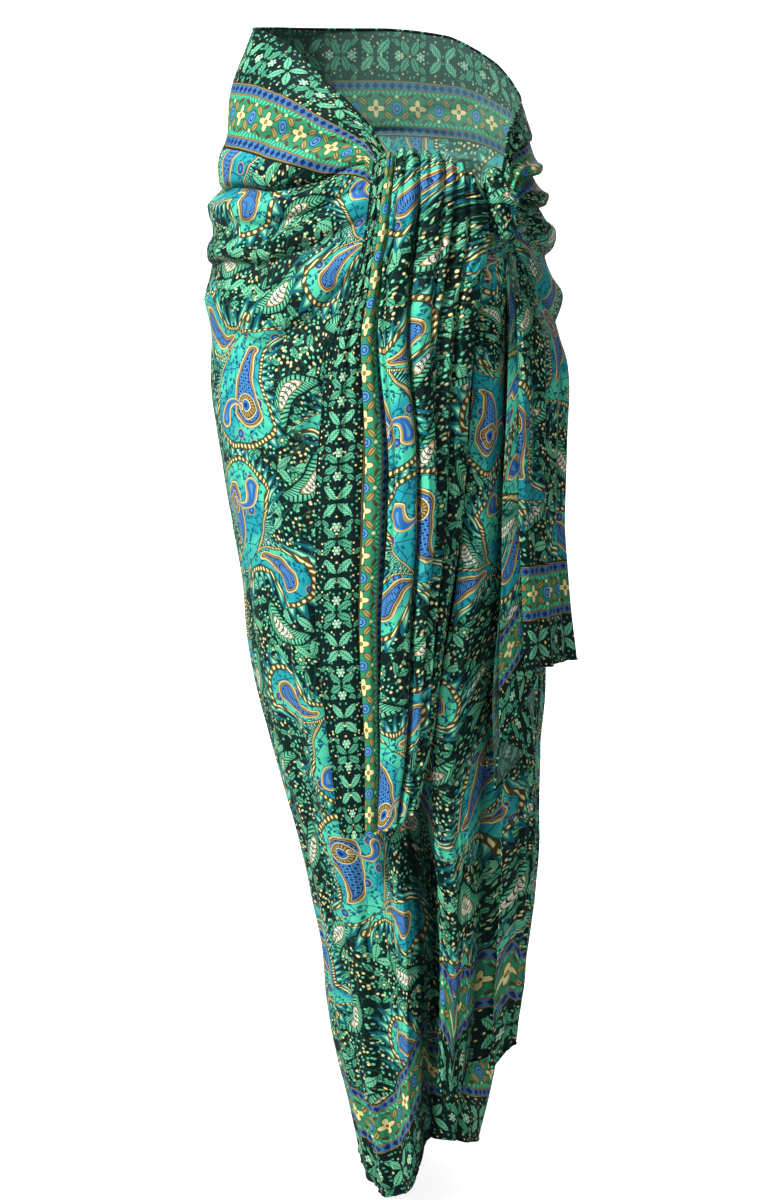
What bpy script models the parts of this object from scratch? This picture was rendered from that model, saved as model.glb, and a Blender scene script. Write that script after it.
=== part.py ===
"""A worn wrap sarong: one rectangular length of cloth taken round the hips, knotted at the front, its two ends
hanging as pleated tails. Metres, +Z up, front towards -Y, origin at the middle of the waist opening.

Every stretch of cloth is a grid of points worked out from tables (sections of the hollow figure shape, folds,
edges) and given its thickness by Solidify. A place on the wrap is named by its turn, in degrees round the body:
0 at the front, 90 at the wearer's right hip, 180 at the back, 270 at the wearer's left hip, 360 at the front again.
"""

import math

import bpy
import numpy as np

CLOTH = 0.0016
SEAM = 0.0003
MM = 0.001

COLOURS = {
    "printed_cloth": ((0.02, 0.16, 0.14, 1.0), 0.62),
    "printed_tail": ((0.03, 0.33, 0.32, 1.0), 0.62),
    "printed_knot": ((0.02, 0.12, 0.09, 1.0), 0.66),
}

# The hollow shape that the cloth keeps: the wrap's reach to each side at a height.
BODY_COLUMNS = ("height", "left", "right", "front", "back")
BODY = (
    (0.030, -0.104, 0.104, -0.084, 0.086),
    (0.000, -0.115, 0.113, -0.092, 0.094),
    (-0.050, -0.132, 0.131, -0.106, 0.106),
    (-0.110, -0.143, 0.146, -0.116, 0.118),
    (-0.170, -0.151, 0.157, -0.119, 0.126),
    (-0.230, -0.155, 0.164, -0.119, 0.127),
    (-0.300, -0.152, 0.165, -0.118, 0.122),
    (-0.380, -0.143, 0.163, -0.116, 0.114),
    (-0.470, -0.128, 0.161, -0.112, 0.106),
    (-0.560, -0.117, 0.157, -0.106, 0.099),
    (-0.640, -0.099, 0.154, -0.100, 0.094),
    (-0.740, -0.073, 0.152, -0.093, 0.089),
    (-0.840, -0.053, 0.143, -0.086, 0.084),
    (-0.940, -0.040, 0.130, -0.080, 0.080),
    (-1.020, -0.022, 0.113, -0.076, 0.076),
    (-1.100, -0.007, 0.099, -0.073, 0.073),
)

# The wrap's upper edge, from the inner end at the front right, round the back, to the knot.
TOP_COLUMNS = ("turn", "height")
TOP_EDGE = (
    (-85, -0.170),
    (-30, -0.160),
    (-6, -0.110),
    (3, -0.072),
    (21, -0.034),
    (39, -0.007),
    (62, 0.008),
    (90, 0.014),
    (135, 0.018),
    (180, 0.019),
    (215, 0.012),
    (245, -0.014),
    (270, -0.045),
    (290, -0.064),
    (306, -0.082),
    (318, -0.112),
    (330, -0.138),
    (348, -0.146),
    (358, -0.150),
    (372, -0.156),
)

# The wrap's hem, by the same turn.
HEM_EDGE = (
    (-85, -1.046),
    (-45, -1.030),
    (-12, -1.019),
    (-3, -1.021),
    (3, -1.036),
    (9, -1.058),
    (20, -1.074),
    (38, -1.080),
    (62, -1.074),
    (90, -1.066),
    (135, -1.060),
    (180, -1.052),
    (215, -1.030),
    (245, -0.980),
    (270, -0.934),
    (290, -0.928),
    (310, -0.930),
    (322, -0.944),
    (330, -0.935),
    (340, -0.945),
    (350, -0.957),
    (358, -0.974),
    (366, -0.952),
    (372, -0.945),
)

# The wrap's folds as flow lines: each runs right round the cloth at its own drop below the upper edge. Near the knot
# the lines crowd together, at a hip they spread, so they swing like cloth that hangs from a knot. A lift is how far
# the cloth stands out along the line, over the wearer's right hip and over the left one.
FLOW_TURNS = (4, 24, 44, 84, 130, 180, 235, 276, 300, 322)
FLOW_COLUMNS = ("lift_right", "lift_left") + FLOW_TURNS
FLOWS = (
    (0.001, 0.002, 0.009, 0.022, 0.034, 0.045, 0.045, 0.045, 0.040, 0.028, 0.018, 0.006),
    (-0.004, -0.001, 0.023, 0.055, 0.080, 0.092, 0.090, 0.085, 0.072, 0.046, 0.030, 0.011),
    (0.001, 0.003, 0.030, 0.073, 0.105, 0.116, 0.108, 0.102, 0.092, 0.060, 0.040, 0.016),
    (-0.004, -0.003, 0.037, 0.092, 0.128, 0.142, 0.130, 0.120, 0.108, 0.071, 0.049, 0.020),
    (0.004, 0.003, 0.045, 0.102, 0.140, 0.156, 0.148, 0.140, 0.126, 0.084, 0.058, 0.025),
    (-0.001, -0.001, 0.060, 0.120, 0.166, 0.184, 0.172, 0.160, 0.146, 0.100, 0.069, 0.031),
    (0.004, 0.005, 0.072, 0.130, 0.178, 0.197, 0.188, 0.180, 0.168, 0.119, 0.083, 0.038),
    (0.001, -0.004, 0.093, 0.160, 0.208, 0.222, 0.215, 0.205, 0.195, 0.144, 0.101, 0.047),
    (0.004, 0.005, 0.112, 0.187, 0.226, 0.240, 0.235, 0.228, 0.222, 0.176, 0.126, 0.060),
    (-0.001, -0.002, 0.136, 0.222, 0.262, 0.275, 0.265, 0.255, 0.250, 0.205, 0.152, 0.078),
    (0.002, 0.002, 0.165, 0.265, 0.305, 0.320, 0.305, 0.292, 0.288, 0.246, 0.188, 0.102),
    (0.000, 0.000, 0.225, 0.340, 0.385, 0.400, 0.385, 0.370, 0.362, 0.318, 0.255, 0.150),
    (0.000, 0.000, 0.330, 0.460, 0.500, 0.510, 0.500, 0.490, 0.480, 0.438, 0.375, 0.245),
)
HEM_FLOW = 19
ROWS = (*np.arange(0, 11, 0.5), 11, 12, 13, 14.2, 15.4, 16.6, 17.8, 19)

# Folds that fall down the wrap: a ridge or, with a negative height, a trough.
HANGING_COLUMNS = ("turn_top", "turn_hem", "width", "height_top", "height_hem")
HANGING_FOLDS = (
    (-60, -62, 9, 0.0, 0.003),
    (-40, -42, 8, 0.0, 0.004),
    (-24, -23, 7, 0.0, 0.002),
    (11, 9, 7, 0.000, 0.016),
    (23, 24, 6, 0.000, -0.004),
    (35, 37, 7, 0.001, 0.007),
    (50, 50, 6, 0.0, -0.002),
    (64, 60, 8, 0.0, 0.004),
    (106, 98, 9, 0.001, 0.006),
    (124, 120, 8, 0.0, -0.004),
    (140, 142, 9, 0.001, 0.009),
    (158, 162, 8, 0.0, -0.004),
    (176, 181, 10, 0.001, 0.008),
    (197, 199, 8, 0.0, -0.005),
    (213, 216, 9, 0.001, 0.009),
    (231, 233, 8, 0.0, -0.004),
    (246, 250, 9, 0.001, 0.007),
)

# The wrap's left half doubles back on itself below the knot. A row is a line down the cloth: its own number, then
# its turn and its distance out from the body at four heights.
LAP_HEIGHTS = (-0.150, -0.420, -0.740, -0.980)
LAP_COLUMNS = ("line", "turn_knot", "turn_hip", "turn_knee", "turn_hem", "out_knot", "out_hip", "out_knee", "out_hem")
LAP = (
    (250, 250, 250, 250, 250, 0.000, 0.000, 0.000, 0.000),
    (270, 271, 270, 270, 270, 0.001, 0.001, 0.001, 0.001),
    (290, 296, 287, 286, 286, 0.003, 0.002, 0.004, 0.004),
    (310, 309, 297, 305, 307, 0.004, 0.002, 0.012, 0.015),
    (322, 313, 305, 323, 325, 0.004, 0.002, 0.016, 0.019),
    (330, 313, 306, 316, 317, 0.003, 0.002, 0.008, 0.009),
    (340, 316, 315, 328, 329, 0.003, 0.001, 0.002, 0.003),
    (350, 319, 325, 339, 338, 0.010, 0.014, 0.012, 0.012),
    (358, 323, 331, 346, 345, 0.014, 0.023, 0.020, 0.018),
    (366, 328, 337, 353, 352, 0.010, 0.016, 0.013, 0.011),
    (372, 327, 335, 350, 350, 0.004, 0.006, 0.005, 0.005),
)

UNDER_LAYER = -0.008
UNDER_FROM, UNDER_TO = -11.0, 2.0

# Each stretch of the wrap: its first and last line, and its lines across.
WRAP_NODES = (
    ("wrap_underlap", -85.0, -14.0, 10),
    ("wrap_right_hip", -14.0, 83.0, 26),
    ("wrap_back", 83.0, 264.0, 22),
    ("wrap_left_hip", 264.0, 372.0, 34),
)


def smooth(knots, values, at):
    """A curve through (knots, values) with no overshoot, read at the places in at. A value may be an array like at."""
    knots, values, at = (np.asarray(x, float) for x in (knots, values, at))
    if values.ndim == 1:
        values = np.broadcast_to(values.reshape(-1, *[1] * at.ndim), (len(values), *at.shape))
    step = np.diff(knots).reshape(-1, *[1] * at.ndim)
    rise = np.diff(values, axis=0) / step
    slope = np.zeros(values.shape)
    same = rise[:-1] * rise[1:] > 0
    near, far = 2 * step[1:] + step[:-1], step[1:] + 2 * step[:-1]
    both = (near + far) / (near / np.where(same, rise[:-1], 1) + far / np.where(same, rise[1:], 1))
    slope[1:-1] = np.where(same, both, 0)
    slope[0], slope[-1] = rise[0], rise[-1]
    at = np.clip(at, knots[0], knots[-1])
    i = np.clip(np.searchsorted(knots, at, side="right") - 1, 0, len(knots) - 2)
    gap = knots[i + 1] - knots[i]
    t = (at - knots[i]) / gap
    low, high = (np.take_along_axis(values, (i + k)[None], 0)[0] for k in (0, 1))
    low_slope, high_slope = (np.take_along_axis(slope, (i + k)[None], 0)[0] for k in (0, 1))
    start = low * (1 + 2 * t) * (1 - t) ** 2 + gap * low_slope * t * (1 - t) ** 2
    finish = high * (3 - 2 * t) * t**2 - gap * high_slope * (1 - t) * t**2
    return start + finish


def column(rows, index):
    return [row[index] for row in rows]


def ease(t):
    t = np.clip(t, 0, 1)
    return t * t * (3 - 2 * t)


def body_reach(height):
    """The wrap's left, right, front and back at each height."""
    below = -np.asarray(height, float)
    depths = [-h for h in column(BODY, 0)]
    return [smooth(depths, column(BODY, i), below) for i in (1, 2, 3, 4)]


def around_body(turn, height, out):
    """Points at a turn round the body and a height, moved out from it."""
    left, right, front, back = body_reach(height)
    angle = np.radians(turn)
    half_x, half_y = (right - left) / 2, (back - front) / 2
    x = (left + right) / 2 - half_x * np.sin(angle)
    y = (front + back) / 2 - half_y * np.cos(angle)
    normal_x, normal_y = -np.sin(angle) / half_x, -np.cos(angle) / half_y
    size = np.hypot(normal_x, normal_y)
    return np.stack([x + out * normal_x / size, y + out * normal_y / size, height + 0 * x], axis=-1)


def ridge(distance, spread):
    return np.exp(-((distance / spread) ** 2))


def hanging_relief(line, share):
    """How far the folds that fall down the wrap lift it."""
    out = np.zeros_like(line)
    for top, hem, width, height_top, height_hem in HANGING_FOLDS:
        centre = top + (hem - top) * share
        lift = height_top + (height_hem - height_top) * ease((share - 0.15) * 1.5)
        out += lift * ridge(line - centre, width * (0.8 + 0.35 * share))
    return out


def flow_heights(line):
    """The heights of all the flow lines, from the upper edge to the hem, at each line round the cloth."""
    top = smooth(column(TOP_EDGE, 0), column(TOP_EDGE, 1), line)
    hem = smooth(column(HEM_EDGE, 0), column(HEM_EDGE, 1), line)
    drops = [smooth(FLOW_TURNS, row[2:], line) for row in FLOWS]
    return np.stack([top, *(top - drop for drop in drops), hem])


def flow_relief(line, flow):
    """How far the folds that swing from the knot round the hips lift the cloth."""
    numbers = np.arange(len(FLOWS) + 1)
    right = smooth(numbers, [0.0, *column(FLOWS, 0)], flow)
    left = smooth(numbers, [0.0, *column(FLOWS, 1)], flow)
    side = ease((line - 150) / 60)
    reach = (-4, 4, 30, 90, 130, 180, 230, 276, 304, 322, 340)
    strength = smooth(reach, (0.0, 0.3, 1.0, 0.95, 0.5, 0.30, 0.45, 0.95, 0.6, 0.15, 0.0), line)
    return strength * (right * (1 - side) + left * side)


def wrap_points(line, flow):
    """The wrap's middle surface. line is a place round the cloth, flow a place down it: 0 is its upper edge."""
    heights = flow_heights(line)
    height = smooth([*range(len(FLOWS) + 1), HEM_FLOW], heights, flow)
    share = (heights[0] - height) / (heights[0] - heights[-1])
    lines = column(LAP, 0)
    turns = np.stack([smooth(lines, column(LAP, i), line) for i in (1, 2, 3, 4)])
    outs = np.stack([smooth(lines, column(LAP, i), line) for i in (5, 6, 7, 8)])
    depths = [-h for h in LAP_HEIGHTS]
    lapped = line > lines[0]
    turn = np.where(lapped, smooth(depths, turns, -height), line)
    out = np.where(lapped, smooth(depths, outs, -height), 0)
    under = 1 - ease((line - UNDER_FROM) / (UNDER_TO - UNDER_FROM))
    out = out + UNDER_LAYER * under
    out = out + hanging_relief(line, share) + flow_relief(line, flow)
    return around_body(turn, height, out)


# The centre tail turns over the knot and hangs. A section is a line across it: where it starts and ends, how far
# forward it lies, the way its folds stand (0 forward, 90 up, 180 back), their depth, and how much lower its right
# end is.
SECTION_COLUMNS = ("height", "left", "right", "front", "lean", "depth", "fall")
CENTRE_SECTIONS = (
    (-0.148, 0.012, 0.080, -0.1318, 180, 0.003, 0.016),
    (-0.126, 0.006, 0.086, -0.1303, 178, 0.004, 0.034),
    (-0.107, 0.003, 0.090, -0.130, 150, 0.006, 0.046),
    (-0.099, 0.001, 0.092, -0.133, 90, 0.008, 0.050),
    (-0.104, -0.001, 0.094, -0.136, 40, 0.010, 0.050),
    (-0.125, -0.004, 0.096, -0.138, 8, 0.013, 0.036),
    (-0.165, -0.009, 0.096, -0.138, 0, 0.016, 0.014),
    (-0.205, -0.018, 0.091, -0.137, 0, 0.019, 0.003),
    (-0.260, -0.037, 0.084, -0.136, 0, 0.022, 0.0),
    (-0.330, -0.047, 0.080, -0.134, 0, 0.024, 0.0),
    (-0.410, -0.053, 0.077, -0.132, 0, 0.024, 0.0),
    (-0.490, -0.053, 0.067, -0.129, 0, 0.022, 0.0),
    (-0.560, -0.048, 0.060, -0.126, 0, 0.019, 0.0),
    (-0.630, -0.041, 0.053, -0.123, 0, 0.016, 0.0),
    (-0.706, -0.032, 0.038, -0.119, 0, 0.013, 0.0),
)
CENTRE_BEND = (0.007, 0.170)
# Each fold line: its place across the tail and how far it stands forward, at the knot, half way and at the hem,
# and how much higher its hem is.
FOLD_COLUMNS = ("spot_knot", "spot_mid", "spot_hem", "out_knot", "out_mid", "out_hem", "raise")
CENTRE_FOLDS = (
    (0.00, 0.00, 0.00, 0.10, 0.10, 0.15, 0.000),
    (0.04, 0.12, 0.14, 0.30, 0.36, 0.42, 0.000),
    (0.09, 0.24, 0.26, 0.34, 0.34, 0.35, 0.002),
    (0.15, 0.385, 0.38, 0.05, -0.05, 0.05, 0.003),
    (0.11, 0.325, 0.33, 0.42, 0.45, 0.45, 0.003),
    (0.145, 0.385, 0.39, 0.54, 0.62, 0.58, 0.004),
    (0.18, 0.450, 0.44, 0.35, 0.40, 0.42, 0.005),
    (0.22, 0.500, 0.50, 0.05, -0.10, 0.10, 0.007),
    (0.26, 0.545, 0.55, 0.14, 0.05, 0.15, 0.009),
    (0.19, 0.490, 0.47, 0.75, 0.80, 0.65, 0.007),
    (0.28, 0.56, 0.56, 0.98, 1.00, 0.90, 0.010),
    (0.46, 0.69, 0.72, 1.05, 1.04, 1.00, 0.015),
    (0.66, 0.81, 0.85, 1.00, 0.98, 0.92, 0.021),
    (0.80, 0.87, 0.91, 0.80, 0.66, 0.66, 0.026),
    (0.90, 0.94, 0.96, 0.80, 0.60, 0.50, 0.029),
    (1.00, 1.00, 1.00, 0.60, 0.30, 0.25, 0.031),
    (0.96, 0.96, 0.95, 0.20, 0.05, 0.00, 0.031),
)
CENTRE_MIX_HEIGHTS = (-0.190, -0.380, -0.640)

# The side tail hangs from the knot over the left hip: fold lines by turn and by distance out from the wrap, at four
# heights, and the heights of each line's two ends.
SIDE_HEIGHTS = (-0.185, -0.270, -0.430, -0.580)
SIDE_COLUMNS = (
    "line", "turn_knot", "turn_hip", "turn_low", "turn_hem", "out_knot", "out_hip", "out_low", "out_hem", "top", "hem",
)
SIDE = (
    (0, 303, 287, 277, 273, 0.004, 0.004, 0.002, 0.021, -0.248, -0.562),
    (1, 305, 292, 285, 282, 0.006, 0.007, 0.005, 0.024, -0.238, -0.559),
    (2, 308, 298, 294, 291, 0.006, 0.006, 0.005, 0.019, -0.226, -0.557),
    (3, 311, 305, 303, 300, 0.008, 0.011, 0.012, 0.025, -0.213, -0.555),
    (4, 314, 312, 311, 308, 0.010, 0.016, 0.019, 0.029, -0.200, -0.553),
    (5, 318, 319, 319, 317, 0.010, 0.017, 0.021, 0.030, -0.188, -0.552),
    (6, 315, 314, 313, 309, 0.008, 0.013, 0.017, 0.023, -0.186, -0.560),
    (7, 319, 321, 325, 327, 0.008, 0.012, 0.019, 0.026, -0.184, -0.613),
    (7.5, 317, 318, 319, 315, 0.007, 0.009, 0.013, 0.021, -0.184, -0.588),
    (8, 315, 315, 313, 309, 0.006, 0.007, 0.009, 0.018, -0.184, -0.638),
    (8.5, 317, 318, 319, 324, 0.005, 0.006, 0.008, 0.017, -0.184, -0.619),
    (9, 319, 320, 322, 328, 0.005, 0.006, 0.008, 0.019, -0.184, -0.665),
    (10, 316, 315, 315, 313, 0.003, 0.003, 0.004, 0.012, -0.184, -0.640),
)
SIDE_BASE = 0.009

KNOT_CENTRE = (0.107, -0.1147, -0.140)
KNOT_RADII = (0.015, 0.012, 0.032)
KNOT_PLEATS = 7
KNOT_PLEAT_DEPTH = 0.10
KNOT_TILT = math.radians(-14)
KNOT_RINGS, KNOT_SIDES = 12, 28


def centre_tail_points(line, way):
    """The centre tail's middle surface. line runs across its fold lines, way along its sections."""
    index = np.arange(len(CENTRE_SECTIONS))
    read = [smooth(index, column(CENTRE_SECTIONS, i), way) for i in range(7)]
    height, left, right, front, lean, depth, fall = read
    lines = np.arange(len(CENTRE_FOLDS))
    depths = [-h for h in CENTRE_MIX_HEIGHTS]
    spot = smooth(depths, np.stack([smooth(lines, column(CENTRE_FOLDS, i), line) for i in (0, 1, 2)]), -height)
    out = smooth(depths, np.stack([smooth(lines, column(CENTRE_FOLDS, i), line) for i in (3, 4, 5)]), -height)
    higher = smooth(lines, column(CENTRE_FOLDS, 6), line)
    x = left + (right - left) * spot
    middle, reach = CENTRE_BEND
    bend = np.sqrt(1 - ((x - middle) / reach) ** 2)
    y = front * bend - depth * out * np.cos(np.radians(lean))
    z = height + depth * out * np.sin(np.radians(lean)) - fall * np.clip(spot, 0, 1) ** 2
    z = z + higher * ease((way - len(CENTRE_SECTIONS) + 5) / 4)
    return np.stack([x, y, z], axis=-1)


def wrap_relief_at(turn, height):
    """How far the wrap's swinging folds lift it at a turn and a height."""
    heights = flow_heights(turn)
    flow = np.zeros_like(height)
    for i in range(len(FLOWS)):
        part = (heights[i] - height) / (heights[i] - heights[i + 1])
        flow = np.where(part > 0, i + np.clip(part, 0, 1), flow)
    return flow_relief(turn, flow)


def side_tail_points(line, share):
    """The side tail's middle surface. line runs across its fold lines, share from the knot to its hem."""
    lines = column(SIDE, 0)
    turns = np.stack([smooth(lines, column(SIDE, i), line) for i in (1, 2, 3, 4)])
    outs = np.stack([smooth(lines, column(SIDE, i), line) for i in (5, 6, 7, 8)])
    top, hem = (smooth(lines, column(SIDE, i), line) for i in (9, 10))
    height = top + (hem - top) * share
    depths = [-h for h in SIDE_HEIGHTS]
    turn = smooth(depths, turns, -height)
    out = smooth(depths, outs, -height) * (0.35 + 0.65 * ease(share * 7))
    return around_body(turn, height, out + SIDE_BASE + wrap_relief_at(turn, height))


def material(name):
    found = bpy.data.materials.get(name)
    if found:
        return found
    colour, roughness = COLOURS[name]
    made = bpy.data.materials.new(name)
    made.use_nodes = True
    shader = made.node_tree.nodes["Principled BSDF"]
    shader.inputs["Base Color"].default_value = colour
    shader.inputs["Roughness"].default_value = roughness
    shader.inputs["Metallic"].default_value = 0.0
    return made


def link(name, mesh, finish, collection, parent):
    mesh.materials.append(material(finish))
    mesh.shade_smooth()
    made = bpy.data.objects.new(name, mesh)
    made.parent = parent
    collection.objects.link(made)
    return made


def cloth_object(name, points, finish, collection, parent):
    """A grid of points as a wall of cloth."""
    across, down = points.shape[:2]
    corner = np.arange(across * down).reshape(across, down)
    faces = np.stack([corner[:-1, :-1], corner[:-1, 1:], corner[1:, 1:], corner[1:, :-1]], axis=-1)
    mesh = bpy.data.meshes.new(name)
    mesh.from_pydata(points.reshape(-1, 3).tolist(), [], faces.reshape(-1, 4).tolist())
    made = link(name, mesh, finish, collection, parent)
    wall = made.modifiers.new("cloth", "SOLIDIFY")
    wall.thickness = CLOTH
    wall.offset = 0
    wall.use_even_offset = False
    return made


def make_wrap(collection, parent):
    gap = math.degrees(SEAM / 2 / -BODY[5][1])
    for name, first, last, across in WRAP_NODES:
        line, flow = np.meshgrid(np.linspace(first + gap, last - gap, across + 1), ROWS, indexing="ij")
        cloth_object(name, wrap_points(line, flow), "printed_cloth", collection, parent)


def make_centre_tail(collection, parent):
    lines = np.linspace(0, len(CENTRE_FOLDS) - 1, 37)
    ways = np.linspace(0, len(CENTRE_SECTIONS) - 1, 23)
    line, way = np.meshgrid(lines, ways, indexing="ij")
    cloth_object("tail_centre", centre_tail_points(line, way), "printed_tail", collection, parent)


def make_side_tail(collection, parent):
    line, share = np.meshgrid(np.linspace(0, SIDE[-1][0], 33), np.linspace(0, 1, 15), indexing="ij")
    cloth_object("tail_side", side_tail_points(line, share)[::-1], "printed_tail", collection, parent)


def make_knot(collection, parent):
    """The pinched knot: a small upright bundle with pleats round it, closed at both ends."""
    rings = []
    for i in range(1, KNOT_RINGS):
        along = -math.cos(math.pi * i / KNOT_RINGS)
        girth = math.sqrt(1 - along**2) * (0.86 + 0.14 * math.cos(2 * math.pi * along))
        for j in range(KNOT_SIDES):
            angle = 2 * math.pi * j / KNOT_SIDES
            pleat = 1 + KNOT_PLEAT_DEPTH * math.cos(KNOT_PLEATS * angle + 1.5 * along)
            x = KNOT_RADII[0] * girth * pleat * math.cos(angle)
            y = KNOT_RADII[1] * girth * pleat * math.sin(angle)
            z = KNOT_RADII[2] * along
            rings.append(tilted(x, y, z))
    bottom, top = len(rings), len(rings) + 1
    rings += [tilted(0, 0, -KNOT_RADII[2]), tilted(0, 0, KNOT_RADII[2])]
    faces = []
    last = (KNOT_RINGS - 2) * KNOT_SIDES
    for j in range(KNOT_SIDES):
        k = (j + 1) % KNOT_SIDES
        faces += [(bottom, k, j), (top, last + j, last + k)]
        for i in range(KNOT_RINGS - 2):
            low, high = i * KNOT_SIDES, (i + 1) * KNOT_SIDES
            faces.append((low + j, low + k, high + k, high + j))
    mesh = bpy.data.meshes.new("knot")
    mesh.from_pydata(rings, [], faces)
    link("knot", mesh, "printed_knot", collection, parent)


def tilted(x, y, z):
    c, s = math.cos(KNOT_TILT), math.sin(KNOT_TILT)
    return (KNOT_CENTRE[0] + x * c + z * s, KNOT_CENTRE[1] + y, KNOT_CENTRE[2] - x * s + z * c)


def main():
    for old in list(bpy.data.objects):
        bpy.data.objects.remove(old)
    collection = bpy.data.collections.new("wrap_sarong")
    bpy.context.scene.collection.children.link(collection)
    waist = bpy.data.objects.new("waist", None)
    collection.objects.link(waist)
    make_wrap(collection, waist)
    make_centre_tail(collection, waist)
    make_side_tail(collection, waist)
    make_knot(collection, waist)


main()
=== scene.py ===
"""The dressed wrap sarong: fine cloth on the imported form, with its creases, rolled hems and printed pattern.

Metres, +Z up, front towards -Y. A place on the wrap is named by its line, in degrees round the body: 0 at
the front, 90 at the wearer's right hip, 180 at the back, 270 at the left hip, 360 at the front again.
"""

import math

import bpy
import numpy as np
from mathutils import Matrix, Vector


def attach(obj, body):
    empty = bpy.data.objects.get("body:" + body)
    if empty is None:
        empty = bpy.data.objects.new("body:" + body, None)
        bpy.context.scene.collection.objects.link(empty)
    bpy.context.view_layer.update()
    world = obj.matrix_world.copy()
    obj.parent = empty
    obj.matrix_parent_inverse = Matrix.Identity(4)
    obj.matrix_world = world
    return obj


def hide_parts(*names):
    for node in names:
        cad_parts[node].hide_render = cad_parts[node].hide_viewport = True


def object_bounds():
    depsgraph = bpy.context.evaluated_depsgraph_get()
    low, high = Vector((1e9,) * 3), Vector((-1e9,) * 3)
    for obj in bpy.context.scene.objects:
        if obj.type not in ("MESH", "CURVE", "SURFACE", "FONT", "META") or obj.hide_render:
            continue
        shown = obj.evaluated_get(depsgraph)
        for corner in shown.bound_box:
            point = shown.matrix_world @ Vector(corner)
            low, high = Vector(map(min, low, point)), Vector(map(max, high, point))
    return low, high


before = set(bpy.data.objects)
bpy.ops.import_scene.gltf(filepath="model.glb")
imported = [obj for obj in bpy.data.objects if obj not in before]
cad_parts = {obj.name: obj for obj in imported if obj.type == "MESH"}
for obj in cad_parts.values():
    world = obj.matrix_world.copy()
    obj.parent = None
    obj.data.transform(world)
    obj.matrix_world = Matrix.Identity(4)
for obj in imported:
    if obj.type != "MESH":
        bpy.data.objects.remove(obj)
cad_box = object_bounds()

# The hollow shape that the cloth keeps: the wrap's reach to each side at a height.
# height, left, right, front, back.
BODY = (
    (0.030, -0.104, 0.104, -0.084, 0.086),
    (0.000, -0.115, 0.113, -0.092, 0.094),
    (-0.050, -0.132, 0.131, -0.106, 0.106),
    (-0.110, -0.143, 0.146, -0.116, 0.118),
    (-0.170, -0.151, 0.157, -0.119, 0.126),
    (-0.230, -0.155, 0.164, -0.119, 0.127),
    (-0.300, -0.152, 0.165, -0.118, 0.122),
    (-0.380, -0.143, 0.163, -0.116, 0.114),
    (-0.470, -0.128, 0.161, -0.112, 0.106),
    (-0.560, -0.117, 0.157, -0.106, 0.099),
    (-0.640, -0.099, 0.154, -0.100, 0.094),
    (-0.740, -0.073, 0.152, -0.093, 0.089),
    (-0.840, -0.053, 0.143, -0.086, 0.084),
    (-0.940, -0.040, 0.130, -0.080, 0.080),
    (-1.020, -0.022, 0.113, -0.076, 0.076),
    (-1.100, -0.007, 0.099, -0.073, 0.073),
)

# The wrap's upper edge, from the inner end at the front right, round the back, to the knot.
# turn, height.
TOP_EDGE = (
    (-85, -0.170),
    (-30, -0.160),
    (-6, -0.110),
    (3, -0.072),
    (21, -0.034),
    (39, -0.007),
    (62, 0.008),
    (90, 0.014),
    (135, 0.018),
    (180, 0.019),
    (215, 0.012),
    (245, -0.014),
    (270, -0.045),
    (290, -0.064),
    (306, -0.082),
    (318, -0.112),
    (330, -0.138),
    (348, -0.146),
    (358, -0.150),
    (372, -0.156),
)

# The wrap's hem, by the same turn.
HEM_EDGE = (
    (-85, -1.046),
    (-45, -1.030),
    (-12, -1.019),
    (-3, -1.021),
    (3, -1.036),
    (9, -1.058),
    (20, -1.074),
    (38, -1.080),
    (62, -1.074),
    (90, -1.066),
    (135, -1.060),
    (180, -1.052),
    (215, -1.030),
    (245, -0.980),
    (270, -0.934),
    (290, -0.928),
    (310, -0.930),
    (322, -0.944),
    (330, -0.935),
    (340, -0.945),
    (350, -0.957),
    (358, -0.974),
    (366, -0.952),
    (372, -0.945),
)

# The wrap's folds as flow lines: each runs right round the cloth at its own drop below the upper edge. Near
# the knot the lines crowd together, at a hip they spread, so they swing like cloth that hangs from a knot.
# A lift is how far the cloth stands out along the line, over the wearer's right hip and over the left one.
FLOW_TURNS = (4, 24, 44, 84, 130, 180, 235, 276, 300, 322)
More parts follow.
